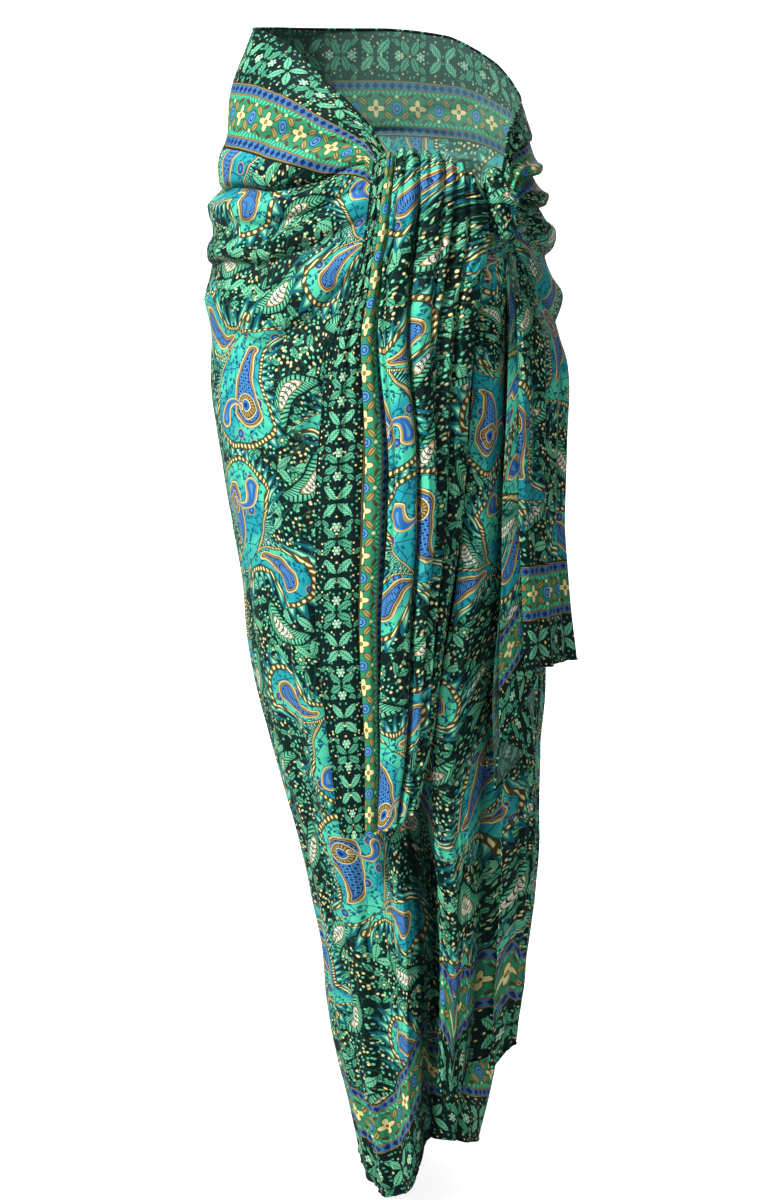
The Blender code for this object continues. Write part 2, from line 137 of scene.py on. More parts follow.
# lift right, lift left, then a drop for each of FLOW_TURNS.
FLOWS = (
    (0.001, 0.002, 0.009, 0.022, 0.034, 0.045, 0.045, 0.045, 0.040, 0.028, 0.018, 0.006),
    (-0.004, -0.001, 0.023, 0.055, 0.080, 0.092, 0.090, 0.085, 0.072, 0.046, 0.030, 0.011),
    (0.001, 0.003, 0.030, 0.073, 0.105, 0.116, 0.108, 0.102, 0.092, 0.060, 0.040, 0.016),
    (-0.004, -0.003, 0.037, 0.092, 0.128, 0.142, 0.130, 0.120, 0.108, 0.071, 0.049, 0.020),
    (0.004, 0.003, 0.045, 0.102, 0.140, 0.156, 0.148, 0.140, 0.126, 0.084, 0.058, 0.025),
    (-0.001, -0.001, 0.060, 0.120, 0.166, 0.184, 0.172, 0.160, 0.146, 0.100, 0.069, 0.031),
    (0.004, 0.005, 0.072, 0.130, 0.178, 0.197, 0.188, 0.180, 0.168, 0.119, 0.083, 0.038),
    (0.001, -0.004, 0.093, 0.160, 0.208, 0.222, 0.215, 0.205, 0.195, 0.144, 0.101, 0.047),
    (0.004, 0.005, 0.112, 0.187, 0.226, 0.240, 0.235, 0.228, 0.222, 0.176, 0.126, 0.060),
    (-0.001, -0.002, 0.136, 0.222, 0.262, 0.275, 0.265, 0.255, 0.250, 0.205, 0.152, 0.078),
    (0.002, 0.002, 0.165, 0.265, 0.305, 0.320, 0.305, 0.292, 0.288, 0.246, 0.188, 0.102),
    (0.000, 0.000, 0.225, 0.340, 0.385, 0.400, 0.385, 0.370, 0.362, 0.318, 0.255, 0.150),
    (0.000, 0.000, 0.330, 0.460, 0.500, 0.510, 0.500, 0.490, 0.480, 0.438, 0.375, 0.245),
)
HEM_FLOW = 19

# Folds that fall down the wrap: a ridge or, with a negative height, a trough.
# turn top, turn hem, width, height top, height hem.
HANGING_FOLDS = (
    (-60, -62, 9, 0.0, 0.003),
    (-40, -42, 8, 0.0, 0.004),
    (-24, -23, 7, 0.0, 0.002),
    (11, 9, 7, 0.000, 0.016),
    (23, 24, 6, 0.000, -0.004),
    (35, 37, 7, 0.001, 0.007),
    (50, 50, 6, 0.0, -0.002),
    (64, 60, 8, 0.0, 0.004),
    (106, 98, 9, 0.001, 0.006),
    (124, 120, 8, 0.0, -0.004),
    (140, 142, 9, 0.001, 0.009),
    (158, 162, 8, 0.0, -0.004),
    (176, 181, 10, 0.001, 0.008),
    (197, 199, 8, 0.0, -0.005),
    (213, 216, 9, 0.001, 0.009),
    (231, 233, 8, 0.0, -0.004),
    (246, 250, 9, 0.001, 0.007),
)

# The wrap's left half doubles back on itself below the knot. A row is a line down the cloth: its own number,
# then its turn and its distance out from the body at four heights.
LAP_HEIGHTS = (-0.150, -0.420, -0.740, -0.980)
# line, turn knot, turn hip, turn knee, turn hem, out knot, out hip, out knee, out hem.
LAP = (
    (250, 250, 250, 250, 250, 0.000, 0.000, 0.000, 0.000),
    (270, 271, 270, 270, 270, 0.001, 0.001, 0.001, 0.001),
    (290, 296, 287, 286, 286, 0.003, 0.002, 0.004, 0.004),
    (310, 309, 297, 305, 307, 0.004, 0.002, 0.012, 0.015),
    (322, 313, 305, 323, 325, 0.004, 0.002, 0.016, 0.019),
    (330, 313, 306, 316, 317, 0.003, 0.002, 0.008, 0.009),
    (340, 316, 315, 328, 329, 0.003, 0.001, 0.002, 0.003),
    (350, 319, 325, 339, 338, 0.010, 0.014, 0.012, 0.012),
    (358, 323, 331, 346, 345, 0.014, 0.023, 0.020, 0.018),
    (366, 328, 337, 353, 352, 0.010, 0.016, 0.013, 0.011),
    (372, 327, 335, 350, 350, 0.004, 0.006, 0.005, 0.005),
)

UNDER_LAYER = -0.008
UNDER_FROM, UNDER_TO = -11.0, 2.0


def smooth(knots, values, at):
    """A curve through (knots, values) with no overshoot, read at the places in at. A value may be an
    array like at."""
    knots, values, at = (np.asarray(x, float) for x in (knots, values, at))
    if values.ndim == 1:
        values = np.broadcast_to(values.reshape(-1, *[1] * at.ndim), (len(values), *at.shape))
    step = np.diff(knots).reshape(-1, *[1] * at.ndim)
    rise = np.diff(values, axis=0) / step
    slope = np.zeros(values.shape)
    same = rise[:-1] * rise[1:] > 0
    near, far = 2 * step[1:] + step[:-1], step[1:] + 2 * step[:-1]
    both = (near + far) / (near / np.where(same, rise[:-1], 1) + far / np.where(same, rise[1:], 1))
    slope[1:-1] = np.where(same, both, 0)
    slope[0], slope[-1] = rise[0], rise[-1]
    at = np.clip(at, knots[0], knots[-1])
    i = np.clip(np.searchsorted(knots, at, side="right") - 1, 0, len(knots) - 2)
    gap = knots[i + 1] - knots[i]
    t = (at - knots[i]) / gap
    low, high = (np.take_along_axis(values, (i + k)[None], 0)[0] for k in (0, 1))
    low_slope, high_slope = (np.take_along_axis(slope, (i + k)[None], 0)[0] for k in (0, 1))
    start = low * (1 + 2 * t) * (1 - t) ** 2 + gap * low_slope * t * (1 - t) ** 2
    finish = high * (3 - 2 * t) * t**2 - gap * high_slope * (1 - t) * t**2
    return start + finish


def column(rows, index):
    return [row[index] for row in rows]


def ease(t):
    t = np.clip(t, 0, 1)
    return t * t * (3 - 2 * t)


def body_reach(height):
    """The wrap's left, right, front and back at each height."""
    below = -np.asarray(height, float)
    depths = [-h for h in column(BODY, 0)]
    return [smooth(depths, column(BODY, i), below) for i in (1, 2, 3, 4)]


def around_body(turn, height, out):
    """Points at a turn round the body and a height, moved out from it."""
    left, right, front, back = body_reach(height)
    angle = np.radians(turn)
    half_x, half_y = (right - left) / 2, (back - front) / 2
    x = (left + right) / 2 - half_x * np.sin(angle)
    y = (front + back) / 2 - half_y * np.cos(angle)
    normal_x, normal_y = -np.sin(angle) / half_x, -np.cos(angle) / half_y
    size = np.hypot(normal_x, normal_y)
    return np.stack([x + out * normal_x / size, y + out * normal_y / size, height + 0 * x], axis=-1)


def ridge(distance, spread):
    return np.exp(-((distance / spread) ** 2))


def hanging_relief(line, share):
    """How far the folds that fall down the wrap lift it."""
    out = np.zeros_like(line)
    for top, hem, width, height_top, height_hem in HANGING_FOLDS:
        centre = top + (hem - top) * share
        lift = height_top + (height_hem - height_top) * ease((share - 0.15) * 1.5)
        out += lift * ridge(line - centre, width * (0.8 + 0.35 * share))
    return out


def flow_heights(line):
    """The heights of all the flow lines, from the upper edge to the hem, at each line round the cloth."""
    top = smooth(column(TOP_EDGE, 0), column(TOP_EDGE, 1), line)
    hem = smooth(column(HEM_EDGE, 0), column(HEM_EDGE, 1), line)
    drops = [smooth(FLOW_TURNS, row[2:], line) for row in FLOWS]
    return np.stack([top, *(top - drop for drop in drops), hem])


def flow_relief(line, flow):
    """How far the folds that swing from the knot round the hips lift the cloth."""
    numbers = np.arange(len(FLOWS) + 1)
    right = smooth(numbers, [0.0, *column(FLOWS, 0)], flow)
    left = smooth(numbers, [0.0, *column(FLOWS, 1)], flow)
    side = ease((line - 150) / 60)
    reach = (-4, 4, 30, 90, 130, 180, 230, 276, 304, 322, 340)
    strength = smooth(reach, (0.0, 0.3, 1.0, 0.95, 0.5, 0.30, 0.45, 0.95, 0.6, 0.15, 0.0), line)
    return strength * (right * (1 - side) + left * side)


def wrap_points(line, flow):
    """The wrap's middle surface. line is a place round the cloth, flow a place down it: 0 is its upper
    edge."""
    heights = flow_heights(line)
    height = smooth([*range(len(FLOWS) + 1), HEM_FLOW], heights, flow)
    share = (heights[0] - height) / (heights[0] - heights[-1])
    lines = column(LAP, 0)
    turns = np.stack([smooth(lines, column(LAP, i), line) for i in (1, 2, 3, 4)])
    outs = np.stack([smooth(lines, column(LAP, i), line) for i in (5, 6, 7, 8)])
    depths = [-h for h in LAP_HEIGHTS]
    lapped = line > lines[0]
    turn = np.where(lapped, smooth(depths, turns, -height), line)
    out = np.where(lapped, smooth(depths, outs, -height), 0)
    under = 1 - ease((line - UNDER_FROM) / (UNDER_TO - UNDER_FROM))
    out = out + UNDER_LAYER * under
    out = out + hanging_relief(line, share) + flow_relief(line, flow)
    return around_body(turn, height, out)


# The centre tail turns over the knot and hangs. A section is a line across it: where it starts and ends,
# how far forward it lies, the way its folds stand (0 forward, 90 up, 180 back), their depth, and how much
# lower its right end is.
# height, left, right, front, lean, depth, fall.
CENTRE_SECTIONS = (
    (-0.148, 0.012, 0.080, -0.1318, 180, 0.003, 0.016),
    (-0.126, 0.006, 0.086, -0.1303, 178, 0.004, 0.034),
    (-0.107, 0.003, 0.090, -0.130, 150, 0.006, 0.046),
    (-0.099, 0.001, 0.092, -0.133, 90, 0.008, 0.050),
    (-0.104, -0.001, 0.094, -0.136, 40, 0.010, 0.050),
    (-0.125, -0.004, 0.096, -0.138, 8, 0.013, 0.036),
    (-0.165, -0.009, 0.096, -0.138, 0, 0.016, 0.014),
    (-0.205, -0.018, 0.091, -0.137, 0, 0.019, 0.003),
    (-0.260, -0.037, 0.084, -0.136, 0, 0.022, 0.0),
    (-0.330, -0.047, 0.080, -0.134, 0, 0.024, 0.0),
    (-0.410, -0.053, 0.077, -0.132, 0, 0.024, 0.0),
    (-0.490, -0.053, 0.067, -0.129, 0, 0.022, 0.0),
    (-0.560, -0.048, 0.060, -0.126, 0, 0.019, 0.0),
    (-0.630, -0.041, 0.053, -0.123, 0, 0.016, 0.0),
    (-0.706, -0.032, 0.038, -0.119, 0, 0.013, 0.0),
)
CENTRE_BEND = (0.007, 0.170)
# Each fold line: its place across the tail and how far it stands forward, at the knot, half way and at the
# hem, and how much higher its hem is.
# spot knot, spot mid, spot hem, out knot, out mid, out hem, raise.
CENTRE_FOLDS = (
    (0.00, 0.00, 0.00, 0.10, 0.10, 0.15, 0.000),
    (0.04, 0.12, 0.14, 0.30, 0.36, 0.42, 0.000),
    (0.09, 0.24, 0.26, 0.34, 0.34, 0.35, 0.002),
    (0.15, 0.385, 0.38, 0.05, -0.05, 0.05, 0.003),
    (0.11, 0.325, 0.33, 0.42, 0.45, 0.45, 0.003),
    (0.145, 0.385, 0.39, 0.54, 0.62, 0.58, 0.004),
    (0.18, 0.450, 0.44, 0.35, 0.40, 0.42, 0.005),
    (0.22, 0.500, 0.50, 0.05, -0.10, 0.10, 0.007),
    (0.26, 0.545, 0.55, 0.14, 0.05, 0.15, 0.009),
    (0.19, 0.490, 0.47, 0.75, 0.80, 0.65, 0.007),
    (0.28, 0.56, 0.56, 0.98, 1.00, 0.90, 0.010),
    (0.46, 0.69, 0.72, 1.05, 1.04, 1.00, 0.015),
    (0.66, 0.81, 0.85, 1.00, 0.98, 0.92, 0.021),
    (0.80, 0.87, 0.91, 0.80, 0.66, 0.66, 0.026),
    (0.90, 0.94, 0.96, 0.80, 0.60, 0.50, 0.029),
    (1.00, 1.00, 1.00, 0.60, 0.30, 0.25, 0.031),
    (0.96, 0.96, 0.95, 0.20, 0.05, 0.00, 0.031),
)
CENTRE_MIX_HEIGHTS = (-0.190, -0.380, -0.640)

# The side tail hangs from the knot over the left hip: fold lines by turn and by distance out from the wrap,
# at four heights, and the heights of each line's two ends.
SIDE_HEIGHTS = (-0.185, -0.270, -0.430, -0.580)
# line, turn knot, turn hip, turn low, turn hem, out knot, out hip, out low, out hem, top, hem.
SIDE = (
    (0, 303, 287, 277, 273, 0.004, 0.004, 0.002, 0.021, -0.248, -0.562),
    (1, 305, 292, 285, 282, 0.006, 0.007, 0.005, 0.024, -0.238, -0.559),
    (2, 308, 298, 294, 291, 0.006, 0.006, 0.005, 0.019, -0.226, -0.557),
    (3, 311, 305, 303, 300, 0.008, 0.011, 0.012, 0.025, -0.213, -0.555),
    (4, 314, 312, 311, 308, 0.010, 0.016, 0.019, 0.029, -0.200, -0.553),
    (5, 318, 319, 319, 317, 0.010, 0.017, 0.021, 0.030, -0.188, -0.552),
    (6, 315, 314, 313, 309, 0.008, 0.013, 0.017, 0.023, -0.186, -0.560),
    (7, 319, 321, 325, 327, 0.008, 0.012, 0.019, 0.026, -0.184, -0.613),
    (7.5, 317, 318, 319, 315, 0.007, 0.009, 0.013, 0.021, -0.184, -0.588),
    (8, 315, 315, 313, 309, 0.006, 0.007, 0.009, 0.018, -0.184, -0.638),
    (8.5, 317, 318, 319, 324, 0.005, 0.006, 0.008, 0.017, -0.184, -0.619),
    (9, 319, 320, 322, 328, 0.005, 0.006, 0.008, 0.019, -0.184, -0.665),
    (10, 316, 315, 315, 313, 0.003, 0.003, 0.004, 0.012, -0.184, -0.640),
)
SIDE_BASE = 0.009

KNOT_CENTRE = (0.107, -0.1147, -0.140)
KNOT_RADII = (0.015, 0.012, 0.032)
KNOT_PLEATS = 7
KNOT_PLEAT_DEPTH = 0.10
KNOT_TILT = math.radians(-14)


def centre_tail_points(line, way):
    """The centre tail's middle surface. line runs across its fold lines, way along its sections."""
    index = np.arange(len(CENTRE_SECTIONS))
    read = [smooth(index, column(CENTRE_SECTIONS, i), way) for i in range(7)]
    height, left, right, front, lean, depth, fall = read
    lines = np.arange(len(CENTRE_FOLDS))
    depths = [-h for h in CENTRE_MIX_HEIGHTS]
    spots = np.stack([smooth(lines, column(CENTRE_FOLDS, i), line) for i in (0, 1, 2)])
    outs = np.stack([smooth(lines, column(CENTRE_FOLDS, i), line) for i in (3, 4, 5)])
    spot = smooth(depths, spots, -height)
    out = smooth(depths, outs, -height)
    higher = smooth(lines, column(CENTRE_FOLDS, 6), line)
    x = left + (right - left) * spot
    middle, reach = CENTRE_BEND
    bend = np.sqrt(1 - ((x - middle) / reach) ** 2)
    y = front * bend - depth * out * np.cos(np.radians(lean))
    z = height + depth * out * np.sin(np.radians(lean)) - fall * np.clip(spot, 0, 1) ** 2
    z = z + higher * ease((way - len(CENTRE_SECTIONS) + 5) / 4)
    return np.stack([x, y, z], axis=-1)


def wrap_relief_at(turn, height):
    """How far the wrap's swinging folds lift it at a turn and a height."""
    heights = flow_heights(turn)
    flow = np.zeros_like(height)
    for i in range(len(FLOWS)):
        part = (heights[i] - height) / (heights[i] - heights[i + 1])
        flow = np.where(part > 0, i + np.clip(part, 0, 1), flow)
    return flow_relief(turn, flow)


def side_tail_points(line, share):
    """The side tail's middle surface. line runs across its fold lines, share from the knot to its hem."""
    lines = column(SIDE, 0)
    turns = np.stack([smooth(lines, column(SIDE, i), line) for i in (1, 2, 3, 4)])
    outs = np.stack([smooth(lines, column(SIDE, i), line) for i in (5, 6, 7, 8)])
    top, hem = (smooth(lines, column(SIDE, i), line) for i in (9, 10))
    height = top + (hem - top) * share
    depths = [-h for h in SIDE_HEIGHTS]
    turn = smooth(depths, turns, -height)
    out = smooth(depths, outs, -height) * (0.35 + 0.65 * ease(share * 7))
    return around_body(turn, height, out + SIDE_BASE + wrap_relief_at(turn, height))


# Fine creases that swing from the knot round a hip or the back. Each follows the flow lines of the folds:
# where it starts and ends round the cloth and down it, its width in flow lines, and its height, a trough if
# negative.
# first, last, flow first, flow last, width, height.
SWAG_CREASES = (
    (1, 62, 2.1, 1.9, 0.30, -0.0052),
    (2, 76, 3.0, 2.9, 0.34, 0.0034),
    (1, 104, 4.05, 3.85, 0.26, -0.0078),
    (4, 60, 4.4, 4.9, 0.20, -0.0026),
    (3, 100, 4.9, 4.9, 0.42, 0.0034),
    (1, 96, 5.9, 5.5, 0.26, -0.0042),
    (4, 82, 6.6, 6.9, 0.36, 0.0034),
    (1, 108, 7.6, 7.4, 0.26, -0.0074),
    (4, 66, 8.1, 8.7, 0.22, -0.0028),
    (3, 88, 8.6, 8.8, 0.34, 0.0034),
    (2, 70, 9.5, 10.0, 0.24, -0.0050),
    (3, 52, 10.3, 11.1, 0.26, 0.0034),
    (3, 46, 11.0, 12.0, 0.20, -0.0038),
    (3, 40, 12.0, 12.8, 0.20, 0.0030),
    (334, 258, 1.5, 1.3, 0.24, -0.0044),
    (336, 250, 2.4, 2.6, 0.28, 0.0036),
    (336, 236, 3.6, 3.3, 0.26, -0.0062),
    (334, 256, 4.6, 4.8, 0.30, 0.0040),
    (336, 230, 5.6, 5.4, 0.24, -0.0066),
    (334, 250, 6.5, 6.7, 0.30, 0.0040),
    (336, 240, 7.6, 7.4, 0.24, -0.0060),
    (334, 255, 8.5, 8.8, 0.28, 0.0036),
    (334, 258, 9.5, 9.9, 0.24, -0.0052),
    (334, 268, 10.4, 10.9, 0.26, 0.0036),
    (332, 272, 11.3, 12.1, 0.22, -0.0044),
    (118, 214, 2.2, 2.7, 0.50, 0.0036),
    (130, 234, 4.4, 3.9, 0.36, -0.0054),
    (102, 168, 3.3, 3.9, 0.30, -0.0040),
    (104, 196, 6.1, 6.7, 0.55, 0.0038),
    (150, 242, 7.9, 7.3, 0.40, -0.0056),
    (106, 160, 7.3, 8.1, 0.32, -0.0044),
    (112, 190, 8.9, 9.9, 0.36, -0.0048),
    (170, 238, 9.9, 9.3, 0.50, -0.0042),
    (118, 172, 10.5, 10.9, 0.40, 0.0030),
    (96, 150, 1.2, 1.7, 0.40, -0.0026),
    (186, 230, 1.9, 1.5, 0.35, 0.0024),
)

# Fine creases that fall down the cloth: the line and the share of the drop where each starts and ends, its
# width in degrees and its height.
# line top, line low, share top, share low, width, height.
DROP_CREASES = (
    (-31, -33, 0.50, 1.02, 4.5, -0.0150),
    (-19, -19, 0.55, 1.02, 2.6, 0.0030),
    (-8, -7, 0.46, 1.02, 4.5, -0.0140),
    (2, 1, 0.50, 1.02, 3.4, -0.0120),
    (9, 8, 0.44, 1.02, 2.4, 0.0052),
    (15, 14, 0.45, 1.02, 1.7, -0.0042),
    (20, 22, 0.30, 0.80, 1.6, -0.0030),
    (29, 31, 0.38, 1.02, 2.0, -0.0046),
    (41, 44, 0.42, 1.02, 2.2, 0.0032),
    (48, 45, 0.24, 0.62, 1.8, -0.0021),
    (57, 55, 0.52, 1.02, 2.2, -0.0029),
    (70, 74, 0.34, 0.90, 2.6, -0.0024),
    (80, 82, 0.55, 1.02, 2.3, 0.0025),
    (90, 88, 0.42, 1.02, 2.0, -0.0027),
    (98, 94, 0.30, 0.74, 2.4, 0.0021),
    (112, 108, 0.36, 1.02, 2.2, -0.0033),
    (119, 116, 0.60, 1.02, 2.0, 0.0027),
    (131, 130, 0.34, 1.02, 2.4, 0.0027),
    (136, 135, 0.44, 1.02, 1.8, -0.0033),
    (148, 152, 0.30, 1.02, 2.2, -0.0027),
    (156, 158, 0.50, 1.02, 1.9, 0.0029),
    (168, 172, 0.36, 1.02, 2.3, -0.0032),
    (184, 188, 0.32, 0.86, 2.5, 0.0024),
    (189, 193, 0.48, 1.02, 1.8, -0.0030),
    (203, 206, 0.34, 1.02, 2.1, -0.0033),
    (209, 210, 0.55, 1.02, 1.7, 0.0027),
    (222, 226, 0.36, 1.02, 2.2, -0.0032),
    (238, 241, 0.40, 1.02, 2.0, 0.0030),
    (253, 256, 0.34, 1.02, 1.9, -0.0033),
    (262, 263, 0.46, 1.02, 1.7, 0.0030),
    (274, 273, 0.38, 1.02, 1.9, -0.0033),
    (283, 281, 0.46, 1.02, 1.6, 0.0034),
    (295, 296, 0.42, 1.02, 1.7, -0.0042),
    (304, 306, 0.40, 1.02, 1.6, 0.0034),
    (312, 313, 0.46, 1.02, 1.2, -0.0038),
    (338, 338, 0.42, 1.02, 3.0, -0.0080),
    (350, 350, 0.34, 1.02, 1.6, 0.0034),
    (355, 355, 0.34, 1.02, 1.1, -0.0044),
    (363, 363, 0.28, 1.02, 1.6, 0.0040),
)

# The knot gathers the cloth into pleats that spread out from one place on the front.
PINCH = (0.102, -0.152)
PINCH_PLEATS = 21
PINCH_DEPTH = 0.0036
PINCH_REACH = (0.022, 0.130)

# Where the centre tail turns over the knot it is gathered: each pleat's place across the tail, its width
# and height.
# spot, width, height.
GATHERS = (
    (1.5, 0.35, -0.0022),
    (3.6, 0.30, 0.0019),
    (5.2, 0.30, -0.0022),
    (7.6, 0.35, 0.0019),
    (9.35, 0.20, -0.0026),
    (9.74, 0.18, 0.0022),
    (10.05, 0.15, -0.0034),
    (10.42, 0.22, 0.0022),
    (10.78, 0.13, -0.0048),
    (11.04, 0.15, 0.0020),
    (11.26, 0.12, -0.0024),
    (11.52, 0.21, 0.0034),
    (11.90, 0.15, -0.0048),
    (12.15, 0.17, 0.0029),
    (12.46, 0.14, -0.0020),
    (12.90, 0.20, 0.0026),
    (13.40, 0.20, -0.0031),
    (13.90, 0.22, 0.0024),
)

# Creases that fall down the centre tail: the fold line where each starts and ends, the ways, the width, the
# height.
# line top, line low, way top, way low, width, height.
TAIL_CREASES = (
    (0.55, 0.50, 5.0, 14.2, 0.20, -0.0016),
    (1.60, 1.50, 5.0, 12.0, 0.26, -0.0032),
    (9.62, 9.55, 4.6, 11.5, 0.18, -0.0036),
    (10.30, 10.20, 6.0, 14.2, 0.50, 0.0022),
    (10.82, 11.15, 4.6, 14.2, 0.17, -0.0095),
    (11.40, 11.40, 6.4, 11.0, 0.20, 0.0026),
    (11.78, 12.05, 5.0, 10.5, 0.14, -0.0050),
    (12.45, 12.15, 5.0, 14.2, 0.22, -0.0078),
    (12.90, 12.80, 7.0, 14.2, 0.26, 0.0030),
    (13.45, 13.30, 4.8, 14.2, 0.24, -0.0052),
)

# Creases that fall down the side tail: the fold line at the top and at the hem, the width and the height.
# line top, line low, width, height.
SIDE_CREASES = (
    (0.5, 0.7, 0.28, 0.0030),
    (1.2, 1.3, 0.26, -0.0036),
    (2.0, 1.9, 0.30, 0.0030),
    (2.7, 2.8, 0.26, -0.0038),
    (3.3, 3.5, 0.28, 0.0032),
    (4.0, 4.0, 0.24, -0.0034),
    (4.6, 4.5, 0.24, 0.0022),
)

# How much the centre tail's fold over the knot lifts beside the knot.
SHOULDER = 0.017

# Where each tail's print starts on the cloth, and a distance beyond any border.
CENTRE_PRINT = (0.730, 0.020)
SIDE_PRINT = (0.300, 0.000)
FAR = 1.0
HEM_ROLL = 0.0011


def noise(u, v, seed):
    """Soft uneven waves between -1 and 1, about one for each unit of u and of v."""
    left, low = np.floor(u), np.floor(v)
    across, up = ease(u - left), ease(v - low)

    def corner(i, j):
        mixed = np.sin(i * 127.1 + j * 311.7 + seed * 74.7) * 4375.5453
        return 2 * (mixed - np.floor(mixed)) - 1

    bottom = corner(left, low) * (1 - across) + corner(left + 1, low) * across
    top = corner(left, low + 1) * (1 - across) + corner(left + 1, low + 1) * across
    return bottom * (1 - up) + top * up


def crease(distance, width, lean=0.0):
    """A soft fold one unit high with a crisp middle. With a lean it is steep on one side and long on the
    other."""
    sharp = 0.25
    reach = width * np.where(distance < 0, 1 - lean, 1 + lean)
    return np.exp(-(np.sqrt((distance / reach) ** 2 + sharp**2) - sharp) * 1.5)


def tuck(distance, width):
    """Rises from 0 to 1 across a fold, as the print moves on where some cloth is tucked away in it."""
    return 0.5 + 0.5 * np.tanh(distance / width * 2.5)


def painted_crease_shade(relief, deep):
    """How much painted shade each place gets, from 0 to 1, by how far down in a trough it lies. deep is
    the depth that counts as 1.
    """
    return np.clip(-relief / deep, 0, 1) ** 1.4


def window(share):
    """Rises from 0 to 1 and falls back as share runs from 0 to 1."""
    inside = np.clip(share, 0, 1)
    return np.sin(np.pi * inside) ** 0.6


def swag_relief(line, flow):
    """The swinging creases' heights, and how far down each place's print moves for the cloth tucked into
    them."""
    out, tucked = np.zeros_like(line), np.zeros_like(line)
    for first, last, flow_first, flow_last, width, height in SWAG_CREASES:
        share = (line - first) / (last - first)
        middle = flow_first + (flow_last - flow_first) * share + 0.16 * noise(share * 5, first + 0 * share, 4)
        strength = height * window(share)
        out += strength * crease(flow - middle, width, 0.62)
        tucked += np.maximum(-strength, 0) * tuck(flow - middle, width)
    return out, tucked


def drop_relief(line, share):
    out = np.zeros_like(line)
    for number, (line_top, line_low, share_top, share_low, width, height) in enumerate(DROP_CREASES):
        part = (share - share_top) / (share_low - share_top)
        middle = line_top + (line_low - line_top) * part + 0.8 * noise(part * 4, line_top + 0 * part, 3)
        strength = np.where(part > 0.5, 1, window(part)) if share_low > 1 else window(part)
        lean = 0.5 if number % 3 else -0.5
        out += height * strength * (part > 0) * crease(line - middle, width, lean)
    return out


def pinch_relief(points):
    """The pleats that spread from the knot, by place on the front of the cloth."""
    x, height = points[..., 0] - PINCH[0], points[..., 2] - PINCH[1]
    distance = np.hypot(x, height)
    angle = np.arctan2(height, x)
    near, far = PINCH_REACH
    strength = ease(distance / near) * (1 - ease((distance - near) / (far - near)))
    waves = np.sin(PINCH_PLEATS * angle + 1.9 * np.sin(3 * angle + 0.6) + 14 * distance)
    in_front = ease((-points[..., 1] - 0.02) / 0.04)
    return PINCH_DEPTH * strength * in_front * (1 - np.abs(waves)) * 1.6


def outward(points):
    """The direction that each point of a grid faces, level with the floor and away from the body."""
    reach = body_reach(points[..., 2])
    x = (points[..., 0] - (reach[0] + reach[1]) / 2) / ((reach[1] - reach[0]) / 2) ** 2
    y = (points[..., 1] - (reach[2] + reach[3]) / 2) / ((reach[3] - reach[2]) / 2) ** 2
    size = np.hypot(x, y) + 1e-9
    return np.stack([x / size, y / size, 0 * x], axis=-1)


def running_length(points, axis):
    """How far each point lies along the lines of a grid, from the first."""
    step = np.linalg.norm(np.diff(points, axis=axis), axis=-1)
    start = np.zeros_like(step.take([0], axis=axis))
    return np.concatenate([start, np.cumsum(step, axis=axis)], axis=axis)


def dressed_wrap(lines, flows):
    """The wrap with its creases, and its places on the flat cloth."""
    line, flow = np.meshgrid(lines, flows, indexing="ij")
    base = wrap_points(line, flow)
    height = base[..., 2]
    all_heights = flow_heights(line)
    share = (all_heights[0] - height) / (all_heights[0] - all_heights[-1])
    length = running_length(around_body(line, height, 0 * line), 0)
    middle = np.array([np.interp(180, lines, length[:, i]) for i in range(len(flows))])
    along = length - middle[None, :]
    swags, tucked = swag_relief(line, flow)
    relief = swags + drop_relief(line, share) + pinch_relief(base)
    relief += 0.0017 * noise(along / 0.060, height / 0.095, 5)
    relief += 0.0010 * noise(along / 0.026, height / 0.050, 9)
    relief += 0.00030 * noise(along / 0.009, height / 0.020, 2)
    under = 1 - ease((line - UNDER_FROM) / (UNDER_TO - UNDER_FROM))
    relief = relief * (1 - 0.6 * under)
    hem_wave = 0.0016 * ease((share - 0.9) * 10) * noise(along / 0.035, 0 * along, 7)
    points = base + (relief + hem_wave)[..., None] * outward(base)
    heights = flow_heights(lines)
    drop = heights[0][:, None] - height
    rise = height - heights[-1][:, None]
    reference = smooth([*range(len(FLOWS) + 1), HEM_FLOW], np.array([0, *REFERENCE_DROPS, CLOTH_DROP]), flow)
    up = 0.6 * (CLOTH_DROP - reference) + 0.4 * rise
    slope = np.cos(np.arctan2(np.gradient(heights[-1]), np.gradient(length[:, -1])))
    edge = np.minimum(0.5 * (drop + reference), rise * slope[:, None])
    # The third value is painted shade, darker the deeper a place lies in a crease's trough.
    edges = np.stack([edge, FAR + 0 * edge, painted_crease_shade(relief, 0.0085)], axis=-1)
    return points, np.stack([along, up - 1.2 * tucked], axis=-1), edges


